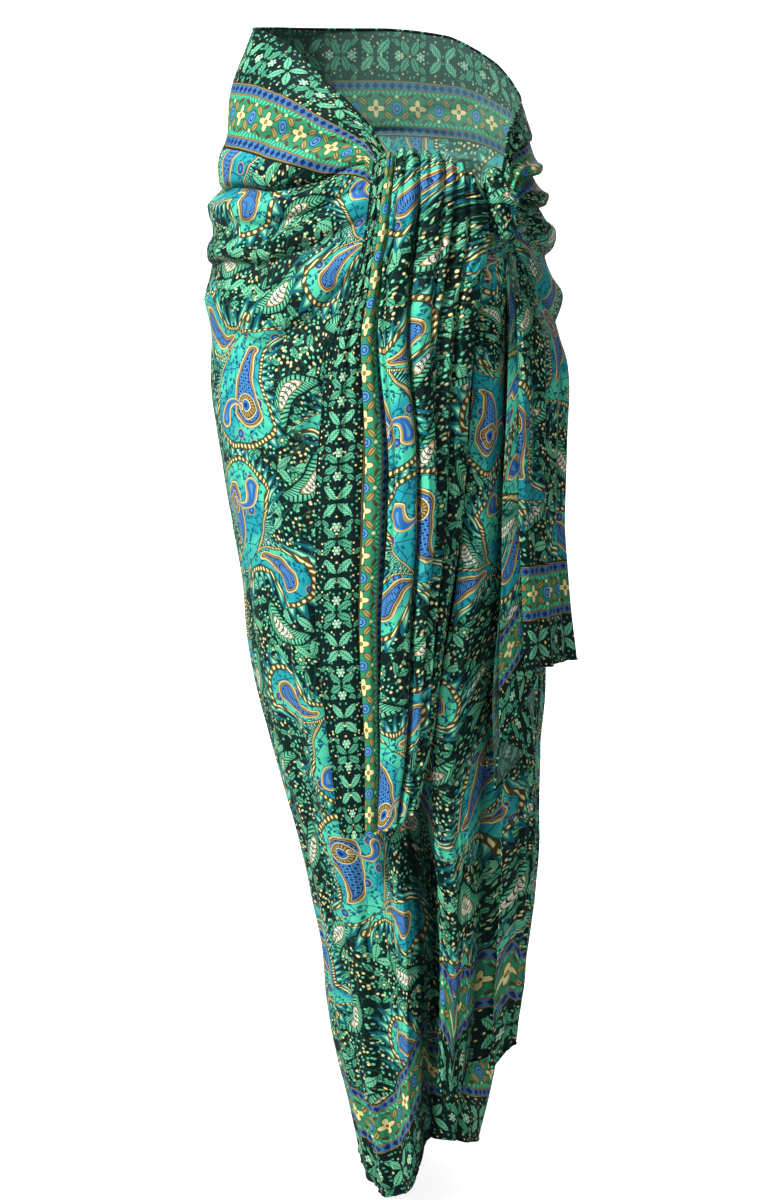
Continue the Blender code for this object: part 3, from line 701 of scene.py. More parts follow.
def dressed_centre_tail(lines, ways):
    line, way = np.meshgrid(lines, ways, indexing="ij")
    base = centre_tail_points(line, way)
    beside_knot = ease((base[..., 0] - 0.020) / 0.060)
    base[..., 2] += SHOULDER * beside_knot * ease(way / 1.5) * (1 - ease((way - 4.6) / 3))
    across = running_length(base, 0)
    widest = across[:, np.argmin(np.abs(ways - 10.0))]
    across = 0.8 * widest[:, None] + 0.2 * across
    down = running_length(base, 1)
    up = down[:, -1:] - down
    relief, tucked = np.zeros_like(line), np.zeros_like(line)
    for spot, width, height in GATHERS:
        fade = ease((way - 1) / 2) * (1 - ease((way - 4.2) / 1.8))
        relief += height * fade * crease(line - spot, width)
    for line_top, line_low, way_top, way_low, width, height in TAIL_CREASES:
        part = np.clip((way - way_top) / (way_low - way_top), 0, 1)
        middle = line_top + (line_low - line_top) * part + 0.10 * noise(part * 5, line_top + 0 * part, 6)
        strength = ease(part * 8) * (1 if way_low > 14 else ease((1 - part) * 3))
        relief += height * strength * crease(line - middle, width, 0.4)
        tucked += max(-height, 0) * strength * tuck(line - middle, width)
    relief += 0.40 * pinch_relief(base) * ease((way - 4.4) / 1.4)
    relief += 0.0011 * noise(across / 0.045, up / 0.085, 11) + 0.0006 * noise(across / 0.020, up / 0.040, 12)
    relief += 0.0002 * noise(across / 0.008, up / 0.018, 13)
    normal = np.cross(np.gradient(base, axis=1), np.gradient(base, axis=0))
    normal /= np.linalg.norm(normal, axis=-1, keepdims=True) + 1e-12
    points = base + relief[..., None] * normal
    flat = np.stack([across + 1.5 * tucked + CENTRE_PRINT[0], up + CENTRE_PRINT[1]], axis=-1)
    # The third value is painted shade, darker the deeper a place lies in a crease's trough.
    return points, flat, np.stack([FAR + 0 * up, across, painted_crease_shade(relief, 0.0085)], axis=-1)


def dressed_side_tail(lines, shares):
    line, share = np.meshgrid(lines, shares, indexing="ij")
    base = side_tail_points(line, share)
    across = running_length(base, 0)
    down = running_length(base, 1)
    up = down[:, -1:] - down
    relief = 0.0011 * noise(across / 0.045, up / 0.085, 21) + 0.0006 * noise(across / 0.020, up / 0.045, 22)
    relief += 0.5 * pinch_relief(base)
    for line_top, line_low, width, height in SIDE_CREASES:
        middle = line_top + (line_low - line_top) * share
        relief += height * ease(share * 4) * crease(line - middle, width)
    points = base + relief[..., None] * outward(base)
    flat = np.stack([across + SIDE_PRINT[0], up + SIDE_PRINT[1]], axis=-1)
    # The third value is painted shade, darker the deeper a place lies in a crease's trough.
    return points, flat, np.stack([up, FAR + 0 * up, painted_crease_shade(relief, 0.006)], axis=-1)


def dressed_knot():
    """The knot: a small bundle of twisted pleats, seen as a grid round it and up it."""
    turn, along = np.meshgrid(np.linspace(0, 2 * np.pi, 193), np.linspace(-0.995, 0.995, 129), indexing="ij")
    girth = np.sqrt(1 - along**2) * (0.86 + 0.14 * np.cos(2 * np.pi * along))
    twist = turn + 0.9 * along
    pleat = 1 + KNOT_PLEAT_DEPTH * np.cos(KNOT_PLEATS * twist + 1.5 * along)
    pleat += 0.05 * np.cos(17 * twist + 2 * np.sin(2 * turn))
    x = KNOT_RADII[0] * girth * pleat * np.cos(turn)
    y = KNOT_RADII[1] * girth * pleat * np.sin(turn)
    z = KNOT_RADII[2] * along
    c, s = math.cos(KNOT_TILT), math.sin(KNOT_TILT)
    points = np.stack(
        [KNOT_CENTRE[0] + x * c + z * s, KNOT_CENTRE[1] + y, KNOT_CENTRE[2] - x * s + z * c], axis=-1
    )
    flat = np.stack([turn * 0.014 + 0.31, z + 0.4], axis=-1)
    # The third value is painted shade, darker down between the knot's pleats.
    return points, flat, np.stack([FAR + 0 * along, FAR + 0 * along, painted_crease_shade(pleat - 1, 0.15)], axis=-1)


def sheet_mesh(name, points, flat, edges):
    """A grid of points as one mesh, with maps of its flat places, its distances from the cut edges and
    the painted shade in its creases."""
    across, down = points.shape[:2]
    corner = np.arange(across * down).reshape(across, down)
    corners = (corner[:-1, :-1], corner[:-1, 1:], corner[1:, 1:], corner[1:, :-1])
    quads = np.stack(corners, axis=-1).reshape(-1, 4)
    spread = np.linspace(0.002, 0.998, across), np.linspace(0.998, 0.002, down)
    even = np.stack(np.meshgrid(*spread, indexing="ij"), axis=-1)
    mesh = bpy.data.meshes.new(name)
    mesh.from_pydata(points.reshape(-1, 3).tolist(), [], quads.tolist())
    # The last map carries the painted crease shade in its second value.
    layers = (("OFBake", even), ("print", flat), ("edges", edges[..., :2]), ("folds", edges[..., 1:]))
    for layer, places in layers:
        made = mesh.uv_layers.new(name=layer)
        made.data.foreach_set("uv", places.reshape(-1, 2)[quads.reshape(-1)].astype(np.float32).reshape(-1))
    mesh.shade_smooth()
    made = bpy.data.objects.new(name, mesh)
    bpy.context.scene.collection.objects.link(made)
    return made


def roll_grid(line, flat, edges, sides=6):
    """A narrow rolled hem along a line of points: its points and its places on the flat cloth."""
    tangent = np.gradient(line, axis=0)
    tangent /= np.linalg.norm(tangent, axis=1, keepdims=True) + 1e-12
    first = np.cross(tangent, (0.31, 0.42, 0.85))
    first /= np.linalg.norm(first, axis=1, keepdims=True) + 1e-12
    second = np.cross(tangent, first)
    angle = np.linspace(0, 2 * np.pi, sides + 1)[None, :, None]
    points = line[:, None] + HEM_ROLL * (np.cos(angle) * first[:, None] + np.sin(angle) * second[:, None])
    shape = (len(line), sides + 1)
    return points, np.broadcast_to(flat[:, None], (*shape, 2)), np.broadcast_to(edges[:, None], (*shape, 3))


# How far each flow line lies below the upper edge where the cloth hangs free, and the whole cloth's drop.
REFERENCE_DROPS = tuple(sum(row[5:10]) / 5 for row in FLOWS)
CLOTH_DROP = 1.08

WRAP_COLUMNS = 400
CENTRE_COLUMNS = 210

# Each sheet: its rolled sides, the flat size of what shows of it, how it is held, and what holds it.
# name, rolled, flat, held, rests on.
SHEETS = (
    ("wrap_cloth", ("top", "hem"), (1.16, 1.08), "draped", ("knot",)),
    ("tail_centre_cloth", ("hem", "first"), (0.20, 0.60), "gathered", ("knot",)),
    ("tail_side_cloth", ("hem",), (0.24, 0.42), "hung", ("knot",)),
    ("knot_cloth", (), (0.10, 0.065), "gathered", ()),
)

WRAP_NODES = ("wrap_right_hip", "wrap_back", "wrap_left_hip", "wrap_underlap")

# name, place, aim, size, power.
LIGHTS = (
    ("key", (-1.9, -1.8, 1.9), (0.0, 0.0, -0.6), 0.4, 185),
    ("fill", (1.0, -2.8, 0.6), (0.0, 0.0, -0.6), 1.0, 11),
    ("back", (0.9, 2.6, 1.4), (0.0, 0.0, -0.5), 1.6, 32),
    ("sweep", (0.0, 1.6, 2.6), (0.0, 6.5, 0.6), 3.0, 260),
)

LENS = 68.0
EYE = (0.010, -2.10, -0.12)
EYE_DOWN = 10.5
FLOOR_GAP = 0.004
FLOOR_GREY, FLOOR_GLOW = 0.55, 0.86
SKY_GLOW, SKY_LIGHT = 0.76, 0.14
HALF_SWEEP = 14

# The studio's pale sweep: it runs back from the floor and curves up behind.
# back, height.
SWEEP = ((-14.0, 0.0), (3.0, 0.0), (4.2, 0.12), (5.2, 0.50), (6.0, 1.3), (6.4, 2.4), (6.5, 4.0), (6.5, 9.0))


def even_places(values, points, count):
    """Picks count of the values so that the points there lie evenly along their lines."""
    length = running_length(points, 0).mean(axis=1)
    return np.interp(np.linspace(0, length[-1], count), length, values)


def wrap_lines():
    lines = np.linspace(-85, 372, 1400)
    line, flow = np.meshgrid(lines, (2.0, 6.0, 10.0, 13.5, 16.0, 18.5), indexing="ij")
    return even_places(lines, wrap_points(line, flow), WRAP_COLUMNS)


def wrap_flows():
    return np.concatenate([np.linspace(0, 11, 121)[:-1], np.linspace(11, HEM_FLOW, 120)])


def centre_lines():
    lines = np.linspace(0, len(CENTRE_FOLDS) - 1, 800)
    line, way = np.meshgrid(lines, (6.0, 8.0, 10.0, 12.0, 14.0), indexing="ij")
    return even_places(lines, centre_tail_points(line, way), CENTRE_COLUMNS)


def screen(red, green, blue):
    """A colour as a screen shows it, 0 to 255, as the light it stands for."""
    shares = [value / 255 for value in (red, green, blue)]
    return (*[s / 12.92 if s <= 0.04045 else ((s + 0.055) / 1.055) ** 2.4 for s in shares], 1.0)


INKS = {
    "ground": screen(0, 28, 26),
    "deep_leaf": screen(10, 76, 62),
    "leaf": screen(84, 176, 136),
    "mint": screen(116, 208, 164),
    "pale_mint": screen(178, 228, 190),
    "turquoise": screen(32, 156, 164),
    "sea_green": screen(82, 206, 166),
    "teal": screen(8, 98, 112),
    "cobalt": screen(40, 104, 172),
    "light_blue": screen(86, 148, 196),
    "navy": screen(12, 40, 104),
    "brown": screen(84, 66, 30),
    "gold": screen(176, 150, 84),
    "cream": screen(238, 226, 156),
    "white": screen(238, 240, 218),
    "border_green": screen(46, 138, 100),
    "chain_blue": screen(66, 118, 160),
}


class Number:
    """A number in a material's node graph, so that the print can be written as sums."""

    def __init__(self, tree, socket):
        self.tree = tree
        self.socket = socket

    def then(self, operation, *others):
        node = self.tree.nodes.new("ShaderNodeMath")
        node.operation = operation
        for place, value in enumerate((self, *others)):
            if isinstance(value, Number):
                self.tree.links.new(value.socket, node.inputs[place])
            else:
                node.inputs[place].default_value = value
        return Number(self.tree, node.outputs[0])

    def __add__(self, other):
        return self.then("ADD", other)

    def __sub__(self, other):
        return self.then("SUBTRACT", other)

    def __mul__(self, other):
        return self.then("MULTIPLY", other)

    def scaled(self, factor, more):
        return self.then("MULTIPLY_ADD", factor, more)

    def size(self):
        return self.then("ABSOLUTE")

    def wave(self, period):
        """Runs to and fro between 0 and half the period."""
        return self.then("PINGPONG", period / 2)

    def below(self, edge, soft=0.05):
        """1 where the number is under the edge, 0 where it is over."""
        return self.scaled(-1 / soft, edge / soft + 0.5).then("MINIMUM", 1.0).then("MAXIMUM", 0.0)

    def above(self, edge, soft=0.05):
        return self.scaled(1 / soft, 0.5 - edge / soft).then("MINIMUM", 1.0).then("MAXIMUM", 0.0)

    def near(self, middle, reach, soft=0.05):
        return (self - middle).size().below(reach, soft)


def far_from(x, y):
    """How far the place x, y is from the middle."""
    return (x * x + y * y).then("SQRT")


def turned(x, y, angle):
    """A place seen from axes turned by an angle, which is a number or in the graph."""
    if not isinstance(angle, Number):
        c, s = math.cos(angle), math.sin(angle)
        return x.scaled(c, y * s), y.scaled(c, x * -s)
    c, s = angle.then("COSINE"), angle.then("SINE")
    return x * c + y * s, y * c - x * s


def teardrop(x, y, length, belly, tip):
    """The distance from a drop's outline: belly is its radius at the middle, tip its radius length
    further up."""
    slant = x.size() * ((belly - tip) / length**2)
    share = y.scaled(1 / length, slant).then("MINIMUM", 1.0).then("MAXIMUM", 0.0)
    return far_from(x, y - share * length) - share.scaled(tip - belly, belly)


def curled(x, y, curl, reach):
    """Turns a place more the further it is from the middle, as far as reach, so that a drop's tip curls."""
    return turned(x, y, (x * x + y * y).then("MINIMUM", reach**2) * curl)


def flat_place(tree, u, v):
    """The place u, v on the cloth as a vector for a texture."""
    place = tree.nodes.new("ShaderNodeCombineXYZ")
    tree.links.new(u.socket, place.inputs[0])
    tree.links.new(v.socket, place.inputs[1])
    return place.outputs[0]


def spot_map(tree, u, v, cell, evenness=0.8):
    """Scattered middles: a place's x and y from the nearest, two random numbers for it, and its distance."""
    place = flat_place(tree, u, v)
    cells = tree.nodes.new("ShaderNodeTexVoronoi")
    cells.voronoi_dimensions = "2D"
    cells.inputs["Scale"].default_value = 1 / cell
    cells.inputs["Randomness"].default_value = evenness
    tree.links.new(place, cells.inputs["Vector"])
    away = tree.nodes.new("ShaderNodeVectorMath")
    away.operation = "SUBTRACT"
    tree.links.new(place, away.inputs[0])
    tree.links.new(cells.outputs["Position"], away.inputs[1])
    parts = tree.nodes.new("ShaderNodeSeparateXYZ")
    tree.links.new(away.outputs[0], parts.inputs[0])
    chance = tree.nodes.new("ShaderNodeSeparateXYZ")
    tree.links.new(cells.outputs["Color"], chance.inputs[0])
    x, y = (Number(tree, parts.outputs[i]) for i in (0, 1))
    return x, y, Number(tree, chance.outputs[0]), Number(tree, chance.outputs[1])


def vein_map(tree, u, v, cell):
    """The distance from a net of fine veins."""
    place = flat_place(tree, u, v)
    net = tree.nodes.new("ShaderNodeTexVoronoi")
    net.voronoi_dimensions = "2D"
    net.feature = "DISTANCE_TO_EDGE"
    net.inputs["Scale"].default_value = 1 / cell
    tree.links.new(place, net.inputs["Vector"])
    return Number(tree, net.outputs["Distance"]) * cell


def clouds(tree, u, v, scale, detail=2.0):
    """Soft random values about 0.5."""
    place = flat_place(tree, u, v)
    cloud = tree.nodes.new("ShaderNodeTexNoise")
    cloud.noise_dimensions = "2D"
    cloud.inputs["Scale"].default_value = scale
    cloud.inputs["Detail"].default_value = detail
    tree.links.new(place, cloud.inputs["Vector"])
    return Number(tree, cloud.outputs["Fac"])


# Centimetres on the flat cloth: the borders' depth from the cut edge, the leaf band, the green band's
# middle and half its width, the two chains' middles, and the repeats of the large motif and of the pods.
BORDER_DEPTH = 9.5
LEAF_BAND = 4.35
GREEN_MIDDLE, GREEN_REACH = 6.85, 1.65
CHAIN_MIDDLES = (4.85, 8.90)
LARGE_REPEAT = (14.6, 17.4)
POD_REPEAT = (7.5, 8.6)
# How strongly the painted shade in the creases darkens the cloth towards the ground ink.
FOLD_SHADE = 0.0072


class Print:
    """The printed cloth as layers of ink: each coat covers the ones before it where its mask is 1."""

    def __init__(self, tree, ground):
        self.tree = tree
        self.colour = tree.nodes.new("ShaderNodeRGB").outputs[0]
        self.colour.default_value = INKS[ground]

    def coat(self, ink, mask):
        node = self.tree.nodes.new("ShaderNodeMix")
        node.data_type = "RGBA"
        self.tree.links.new(mask.socket, node.inputs["Factor"])
        self.tree.links.new(self.colour, node.inputs[6])
        if isinstance(ink, str):
            node.inputs[7].default_value = INKS[ink]
        else:
            self.tree.links.new(ink, node.inputs[7])
        self.colour = node.outputs[2]

    def rings(self, distance, *rings, within=None):
        """Coats that each cover what is nearer than an edge."""
        for ink, edge in rings:
            mask = distance.below(edge)
            self.coat(ink, mask if within is None else within * mask)

    def leaves(self, x, y, length, width, spread, ink, rib, mask=None):
        """A pair of leaves that open from one place, with a rib and side veins."""
        along, off = turned(x.size(), y, spread)
        along = along - 0.06
        share = along * (1 / length)
        body = (share - share * share).scaled(4 * width, 0.0)
        shape = (off.size() - body).below(0.0, 0.05)
        veins = off.size().scaled(1.2, along).wave(0.30).above(0.030, 0.035)
        line = off.size().above(0.030, 0.035)
        if mask is not None:
            shape = shape * mask
        self.coat(rib, shape)
        self.coat(ink, shape * veins * line)


def medallion(cloth, x, y, u, v):
    """A large drop with a curled tip joined to a smaller one: rays and beads round them, veins inside."""
    tree = cloth.tree
    x_curled, y_curled = curled(x, y, 0.0135, 8.6)
    edge_large = teardrop(x_curled, y_curled, 8.8, 4.7, 0.5)
    x_small, y_small = turned(x - 3.9, y - 6.9, 2.5)
    x_small, y_small = curled(x_small, y_small, -0.030, 5.6)
    edge = edge_large.then("MINIMUM", teardrop(x_small, y_small, 5.8, 2.9, 0.3))
    angle = y.scaled(1.0, -2.0).then("ARCTAN2", x - 1.0)
    rays = (angle * (44 / math.pi)).wave(2.0)
    fan = (edge * 0.58 + rays).below(0.99, 0.12)
    cloth.coat("ground", edge.below(0.5))
    cloth.coat("teal", fan * edge.below(1.7))
    cloth.coat("leaf", fan * (edge * 0.75 + rays).below(0.72, 0.10))
    cloth.coat("pale_mint", (edge * 0.5 + rays).below(0.34, 0.10) * edge.below(0.7))
    cloth.coat("turquoise", edge.below(0.14))
    inside = edge.below(-0.42)
    cloth.coat("sea_green", inside * clouds(tree, u, v, 0.17).above(0.52, 0.14))
    leaf_x, leaf_y, chance, other = spot_map(tree, u, v, 0.86)
    leaf_x, leaf_y = turned(leaf_x, leaf_y, chance * 6.28)
    cloth.leaves(leaf_x, leaf_y, 0.58, 0.12, 0.75, "teal", "teal", inside)
    cloth.coat("cobalt", inside * far_from(leaf_x, leaf_y - 0.30).below(0.10) * other.above(0.5))
    cloth.coat("navy", inside * vein_map(tree, u, v, 1.7).below(0.036, 0.04))
    bud_x, bud_y, chance, other = spot_map(tree, u, v, 3.0)
    bud = far_from(bud_x, bud_y)
    kept = inside * other.above(0.35)
    cloth.rings(bud, ("gold", 0.48), ("navy", 0.39), ("cobalt", 0.27), ("light_blue", 0.10), within=kept)
    cloth.coat("brown", edge.near(-0.13, 0.25))
    cloth.coat("ground", edge.near(0.15, 0.035) + edge.near(-0.41, 0.035))
    bead = (angle * (42 / math.pi)).wave(2.0)
    cloth.coat("cream", far_from((bead - 0.5) * 0.66, edge + 0.13).below(0.17, 0.06))
    core = teardrop(x_curled + 0.9, y_curled + 1.0, 4.9, 1.50, 0.20)
    second = teardrop(x_small, y_small + 0.2, 3.4, 0.92, 0.14)
    core = core.then("MINIMUM", second)
    cloth.rings(core, ("navy", 0.34), ("cream", 0.28), ("gold", 0.20))
    cloth.rings(core, ("brown", 0.08), ("gold", -0.01), ("cobalt", -0.09))
    scale_x = (x_curled + y_curled).wave(0.56)
    scale_y = (x_curled - y_curled).wave(0.56)
    cloth.coat("light_blue", core.below(-0.20) * (scale_x + scale_y).below(0.34, 0.06))
    cloth.coat("navy", core.below(-0.20) * (scale_x + scale_y).below(0.22, 0.06))
    cloth.coat("navy", core.near(-0.16, 0.04))
    hub = far_from(x_curled + 0.9, y_curled + 1.0)
    hub_angle = (y_curled + 1.0).then("ARCTAN2", x_curled + 0.9)
    teeth = (hub_angle * (18 / math.pi)).wave(2.0)
    cloth.rings(hub, ("cream", 1.08), ("brown", 1.01))
    cloth.coat("gold", hub.near(0.76, 0.15) * teeth.above(0.45, 0.3))
    cloth.rings(hub, ("cream", 0.55), ("cobalt", 0.48), ("navy", 0.22))


def hook(cloth, x, y, angle, x_at, y_at):
    """A small gold drop with a tightly curled tip."""
    side, up = turned(x - x_at, y - y_at, angle)
    side, up = curled(side, up, 0.160, 2.7)
    edge = teardrop(side, up, 2.7, 0.62, 0.14)
    cloth.rings(edge, ("navy", 0.30), ("cream", 0.22), ("gold", 0.13))
    cloth.rings(edge, ("cobalt", -0.06), ("light_blue", -0.42))


def caterpillar(cloth, x, y):
    """A curved cream pod on a green leaf, with rounded segments."""
    bent = y - x * x * 0.16
    body = far_from(x * 0.34, bent)
    cloth.coat("ground", body.below(1.15, 0.1))
    fringe = (x + bent.size() * 0.7).wave(0.36)
    cloth.coat("leaf", body.below(0.98) * fringe.above(0.065, 0.04))
    cloth.coat("mint", body.below(0.80) * fringe.above(0.11, 0.04))
    cloth.coat("ground", body.below(0.56))
    rounds = (x - bent * bent * 0.9).wave(0.46)
    cloth.coat("white", body.below(0.50) * rounds.above(0.060, 0.04))
    cloth.coat("gold", body.near(0.47, 0.03))
    cloth.coat("deep_leaf", body.below(0.38) * far_from(rounds - 0.23, bent).near(0.13, 0.03, 0.04))


def half_drop(u, v, width, height, across, up):
    """Divides the cloth into columns, each other one mirrored and half a repeat lower. Odd rows stand on
    their heads."""
    side = (u + across) * (1 / width)
    column_number = side.then("FLOOR")
    odd = column_number.then("MODULO", 2.0).size()
    rise = (v + up) * (1 / height) + odd * 0.5
    row_number = rise.then("FLOOR")
    upright = row_number.then("MODULO", 2.0).size().scaled(-2.0, 1.0)
    x = (side - column_number - 0.5) * width * odd.scaled(-2.0, 1.0) * upright
    y = (rise - row_number - 0.5) * height * upright
    return x, y


def border(cloth, far, along, u, v):
    """The bands along a cut edge: leaves, a chain of lozenges, flowers, and a second chain. far is from
    the edge."""
    inside = far.below(BORDER_DEPTH)
    cloth.coat("ground", inside)
    outer = far.below(LEAF_BAND)
    side = (far - 2.2).size()
    step = along.wave(6.6)
    dot_x, dot_y, chance, other = spot_map(cloth.tree, side, along, 0.50, 0.8)
    dots = far_from(dot_x, dot_y)
    cloth.coat("leaf", outer * dots.below(0.10) * chance.above(0.45))
    cloth.coat("cream", outer * dots.below(0.09) * chance.below(0.22))
    cloth.leaves(side, step - 0.15, 1.75, 0.36, 0.72, "mint", "ground", outer)
    cloth.leaves(side, (step - 3.15) * -1.0, 1.55, 0.32, 0.45, "leaf", "ground", outer)
    cloth.leaves(side - 1.55, step - 1.75, 0.85, 0.20, 0.6, "leaf", "ground", outer)
    rosette = far_from(side, step - 2.25)
    petals = ((step - 2.25).then("ARCTAN2", side) * 6.0).then("COSINE").scaled(0.09, 0.36)
    cloth.coat("pale_mint", outer * (rosette - petals).below(0.0))
    cloth.coat("ground", outer * rosette.near(0.20, 0.03))
    green = far.near(GREEN_MIDDLE, GREEN_REACH)
    cloth.coat("border_green", green)
    turn_x = along.wave(4.0)
    rise = far - GREEN_MIDDLE
    vine = rise.size()
    cloth.coat("sea_green", green * vine.above(1.20) * (turn_x + vine * 0.6).wave(0.44).above(0.13))
    leaf_x, leaf_y = turned(turn_x - 1.22, vine - 0.66, 0.75)
    blade = leaf_x * leaf_x * 0.75 + leaf_y.size()
    cloth.coat("ground", green * blade.below(0.30))
    cloth.coat("gold", green * blade.below(0.23) * leaf_y.size().above(0.035))
    leaf_x, leaf_y = turned(turn_x - 0.62, vine - 1.12, -0.5)
    cloth.coat("brown", green * (leaf_x * leaf_x * 0.9 + leaf_y.size()).below(0.17))
    bud = far_from(turn_x - 2.0, rise * 0.8)
    cloth.rings(bud, ("navy", 0.50), ("light_blue", 0.42), within=green)
    cloth.coat("navy", green * bud.near(0.22, 0.05))
    cloth.coat("cream", green * far_from(turn_x - 2.0, vine - 1.05).below(0.15))
    petal = (rise.then("ARCTAN2", turn_x) * 4.0).then("COSINE").scaled(0.24, 0.54)
    flower = far_from(turn_x, rise) - petal
    cloth.rings(flower, ("brown", 0.15), ("cream", 0.03), within=green)
    cloth.rings(far_from(turn_x, rise), ("brown", 0.20), ("gold", 0.11), within=green)
    for middle in CHAIN_MIDDLES:
        chain = far.near(middle, 0.47)
        cloth.coat("brown", chain)
        cloth.coat("gold", far.near(middle, 0.41, 0.04))
        cloth.coat("brown", far.near(middle, 0.36, 0.04))
        cloth.coat("chain_blue", far.near(middle, 0.30))
        lozenge = (along.wave(0.80) * 0.95 + (far - middle).size()).below(0.31, 0.05)
        cloth.coat("navy", lozenge * chain)


def printed_cloth():
    """The cloth's finish: the print, painted shade down in its creases, the paler wrong side, and the
    crinkle of the weave.
    """
    made = bpy.data.materials.new("printed_cloth")
    made.use_nodes = True
    tree = made.node_tree
    shader = tree.nodes["Principled BSDF"]
    maps = {}
    for name in ("print", "edges", "folds"):
        source = tree.nodes.new("ShaderNodeUVMap")
        source.uv_map = name
        parts = tree.nodes.new("ShaderNodeSeparateXYZ")
        tree.links.new(source.outputs[0], parts.inputs[0])
        maps[name] = [Number(tree, parts.outputs[i]) * 100.0 for i in (0, 1)]
    u, v = maps["print"]
    from_hem, from_end = maps["edges"]
    drift_u = clouds(tree, u, v, 0.22) - 0.5
    drift_v = clouds(tree, u + 40.0, v, 0.22) - 0.5
    drawn_u = drift_u.scaled(1.3, u)
    drawn_v = drift_v.scaled(1.3, v)
    cloth = Print(tree, "ground")
    x, y, chance, other = spot_map(tree, drawn_u, drawn_v, 0.50, 0.9)
    spray = clouds(tree, u, v, 0.42, 1.0).above(0.47, 0.08)
    cloth.coat("deep_leaf", vein_map(tree, drawn_u, drawn_v, 1.5).below(0.05, 0.04))
    dot = far_from(x, y)
    cloth.coat("mint", dot.below(0.12) * chance.above(0.55))
    cloth.coat("cream", dot.below(0.13) * chance.below(0.48) * spray)
    x, y, chance, other = spot_map(tree, drawn_u, drawn_v, 2.2, 0.75)
    x, y = turned(x, y, chance * 6.28)
    cloth.leaves(x, y, 1.25, 0.26, 0.62, "leaf", "ground", other.above(0.18))
    cloth.coat("cream", far_from(x, y - 1.25).below(0.12) * other.above(0.5))
    x, y, chance, other = spot_map(tree, drawn_u + 17.0, drawn_v, 4.3, 0.8)
    x, y = turned(x, y, chance * 6.28)
    cloth.leaves(x, y + 0.3, 1.9, 0.38, 0.85, "mint", "ground", other.above(0.25))
    x, y, chance, other = spot_map(tree, drawn_u + 31.0, drawn_v + 5.0, 4.9, 0.8)
    wheel = far_from(x, y)
    spokes = (y.then("ARCTAN2", x) * (9 / math.pi)).wave(2.0)
    cloth.coat("ground", wheel.below(0.62))
    cloth.coat("leaf", wheel.below(0.54) * spokes.above(0.3, 0.2))
    cloth.rings(wheel, ("ground", 0.24), ("cream", 0.15))
    x, y = half_drop(drawn_u, drawn_v, *POD_REPEAT, 2.0, 3.2)
    x, y = turned(x, y, 0.7)
    caterpillar(cloth, x, y)
    x, y = half_drop(drawn_u, drawn_v, *LARGE_REPEAT, 6.5, 0.0)
    medallion(cloth, x + 1.9, y + 3.9, u, v)
    hook(cloth, x + 1.9, y + 3.9, 0.3, 2.6, -1.4)
    far = from_hem.then("MINIMUM", from_end)
    along = (from_end - from_hem).below(0.0) * (v - u) + u
    border(cloth, far, along, u, v)
    # Painted shade: the cloth darkens towards the ground ink down in the troughs of its creases and pleats.
    cloth.coat("ground", maps["folds"][1] * FOLD_SHADE)
    geometry = tree.nodes.new("ShaderNodeNewGeometry")
    wrong = tree.nodes.new("ShaderNodeMix")
    wrong.data_type = "RGBA"
    tree.links.new(cloth.colour, wrong.inputs[6])
    wrong.inputs["Factor"].default_value = 0.42
    wrong.inputs[7].default_value = screen(96, 132, 122)
    sides = tree.nodes.new("ShaderNodeMix")
    sides.data_type = "RGBA"
    tree.links.new(geometry.outputs["Backfacing"], sides.inputs["Factor"])
    tree.links.new(cloth.colour, sides.inputs[6])
    tree.links.new(wrong.outputs[2], sides.inputs[7])
    tree.links.new(sides.outputs[2], shader.inputs["Base Color"])
    shader.inputs["Roughness"].default_value = 0.66
    shader.inputs["Specular IOR Level"].default_value = 0.14
    shader.inputs["Sheen Weight"].default_value = 0.02
    shader.inputs["Sheen Roughness"].default_value = 0.45
    crinkle = clouds(tree, u * 2.6, v * 0.9, 1.0, 3.0) * 0.030
    weave = (clouds(tree, u * 11.0, v * 4.0, 1.0, 1.0) - 0.5) * 0.008
    bump = tree.nodes.new("ShaderNodeBump")
    bump.inputs["Strength"].default_value = 1.0
    bump.inputs["Distance"].default_value = 0.01
    tree.links.new((crinkle + weave).socket, bump.inputs["Height"])
    tree.links.new(bump.outputs[0], shader.inputs["Normal"])
    return made


def dress(name, grid, finish, nodes, reverse=False):
    """A sheet in place of CAD nodes."""
    points, flat, edges = grid
    if reverse:
        points, flat, edges = points[::-1], flat[::-1], edges[::-1]
    made = sheet_mesh(name, points, flat, edges)
    made.data.materials.append(finish)
    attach(made, "root")
    if nodes:
        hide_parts(*nodes)
    return made


def hem_pieces(name, grid, sides, finish):
    """Rolled hems along some of a grid's four sides, a piece each."""
    points, flat, edges = grid
    picks = {"top": np.s_[:, 0], "hem": np.s_[:, -1], "first": np.s_[0], "last": np.s_[-1]}
    rolls = [roll_grid(points[picks[s]], flat[picks[s]], edges[picks[s]]) for s in sides]
    return [dress(f"{name}_{s}", roll, finish, ()) for s, roll in zip(sides, rolls)]


def seen(tree):
    """1 for what the camera sees straight, 0 for the light that falls on other things."""
    return Number(tree, tree.nodes.new("ShaderNodeLightPath").outputs["Is Camera Ray"])


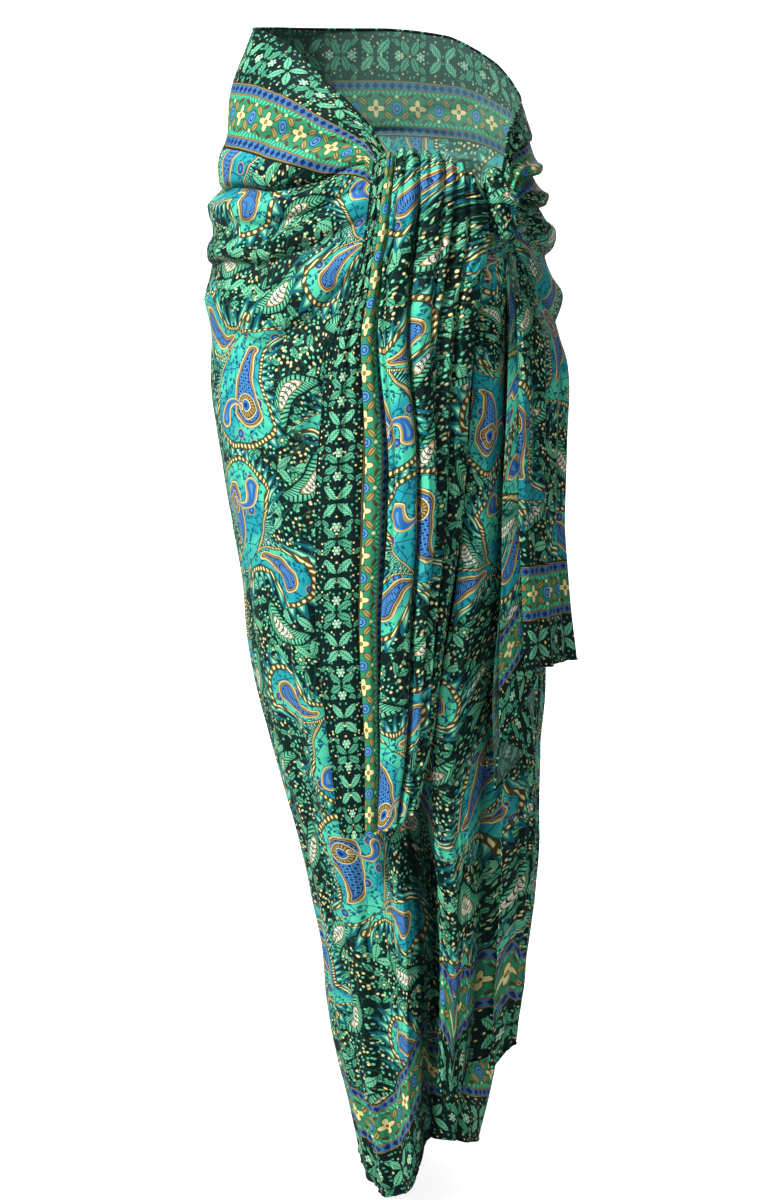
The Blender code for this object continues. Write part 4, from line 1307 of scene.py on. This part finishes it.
def studio():
    """The camera, the pale floor and the soft light, as in the photo."""
    scene = bpy.context.scene
    eye = bpy.data.cameras.new("camera")
    eye.lens = LENS
    eye.sensor_width = 36.0
    camera = bpy.data.objects.new("camera", eye)
    camera.location = EYE
    camera.rotation_euler = (math.radians(90 - EYE_DOWN), 0, 0)
    scene.collection.objects.link(camera)
    scene.camera = camera
    level = cad_box[0][2] - FLOOR_GAP
    rows = [(x, back, level + height) for back, height in SWEEP for x in (-HALF_SWEEP, HALF_SWEEP)]
    strips = [(2 * i, 2 * i + 1, 2 * i + 3, 2 * i + 2) for i in range(len(SWEEP) - 1)]
    sweep = bpy.data.meshes.new("floor")
    sweep.from_pydata(rows, [], strips)
    sweep.shade_smooth()
    floor = bpy.data.objects.new("floor", sweep)
    scene.collection.objects.link(floor)
    pale = bpy.data.materials.new("pale_floor")
    pale.use_nodes = True
    shader = pale.node_tree.nodes["Principled BSDF"]
    shader.inputs["Base Color"].default_value = (FLOOR_GREY, FLOOR_GREY, FLOOR_GREY, 1)
    shader.inputs["Roughness"].default_value = 0.9
    shader.inputs["Emission Color"].default_value = (1.0, 1.0, 1.0, 1)
    pale.node_tree.links.new((seen(pale.node_tree) * FLOOR_GLOW).socket, shader.inputs["Emission Strength"])
    floor.data.materials.append(pale)
    world = bpy.data.worlds.new("studio")
    world.use_nodes = True
    tree = world.node_tree
    sky = tree.nodes["Background"]
    sky.inputs["Color"].default_value = (1.0, 1.0, 1.0, 1)
    tree.links.new(seen(tree).scaled(SKY_GLOW, SKY_LIGHT).socket, sky.inputs["Strength"])
    scene.world = world
    for name, place, aim, wide, power in LIGHTS:
        lamp = bpy.data.lights.new(name, "AREA")
        lamp.size = wide
        lamp.energy = power
        light = bpy.data.objects.new(name, lamp)
        light.location = place
        direction = np.array(place) - np.array(aim)
        flat = math.hypot(direction[0], direction[1])
        light.rotation_euler = (math.atan2(flat, direction[2]), 0, math.atan2(direction[0], -direction[1]))
        scene.collection.objects.link(light)
    scene.view_settings.view_transform = "Standard"


def main():
    finish = printed_cloth()
    ways = np.linspace(0, len(CENTRE_SECTIONS) - 1, 300)
    grids = {
        "wrap_cloth": dressed_wrap(wrap_lines(), wrap_flows()),
        "tail_centre_cloth": dressed_centre_tail(centre_lines(), ways),
        "tail_side_cloth": dressed_side_tail(np.linspace(0, SIDE[-1][0], 181), np.linspace(0, 1, 161)),
        "knot_cloth": dressed_knot(),
    }
    cloths = {
        "wrap_cloth": dress("wrap_cloth", grids["wrap_cloth"], finish, WRAP_NODES, True),
        "tail_centre_cloth": dress("tail_centre_cloth", grids["tail_centre_cloth"], finish, ("tail_centre",)),
        "tail_side_cloth": dress("tail_side_cloth", grids["tail_side_cloth"], finish, ("tail_side",), True),
        "knot_cloth": dress("knot_cloth", grids["knot_cloth"], finish, ("knot",), True),
    }
    for name, sides, flat, held, rests in SHEETS:
        hems = hem_pieces(name.replace("cloth", "roll"), grids[name], sides, finish)
    studio()


main()
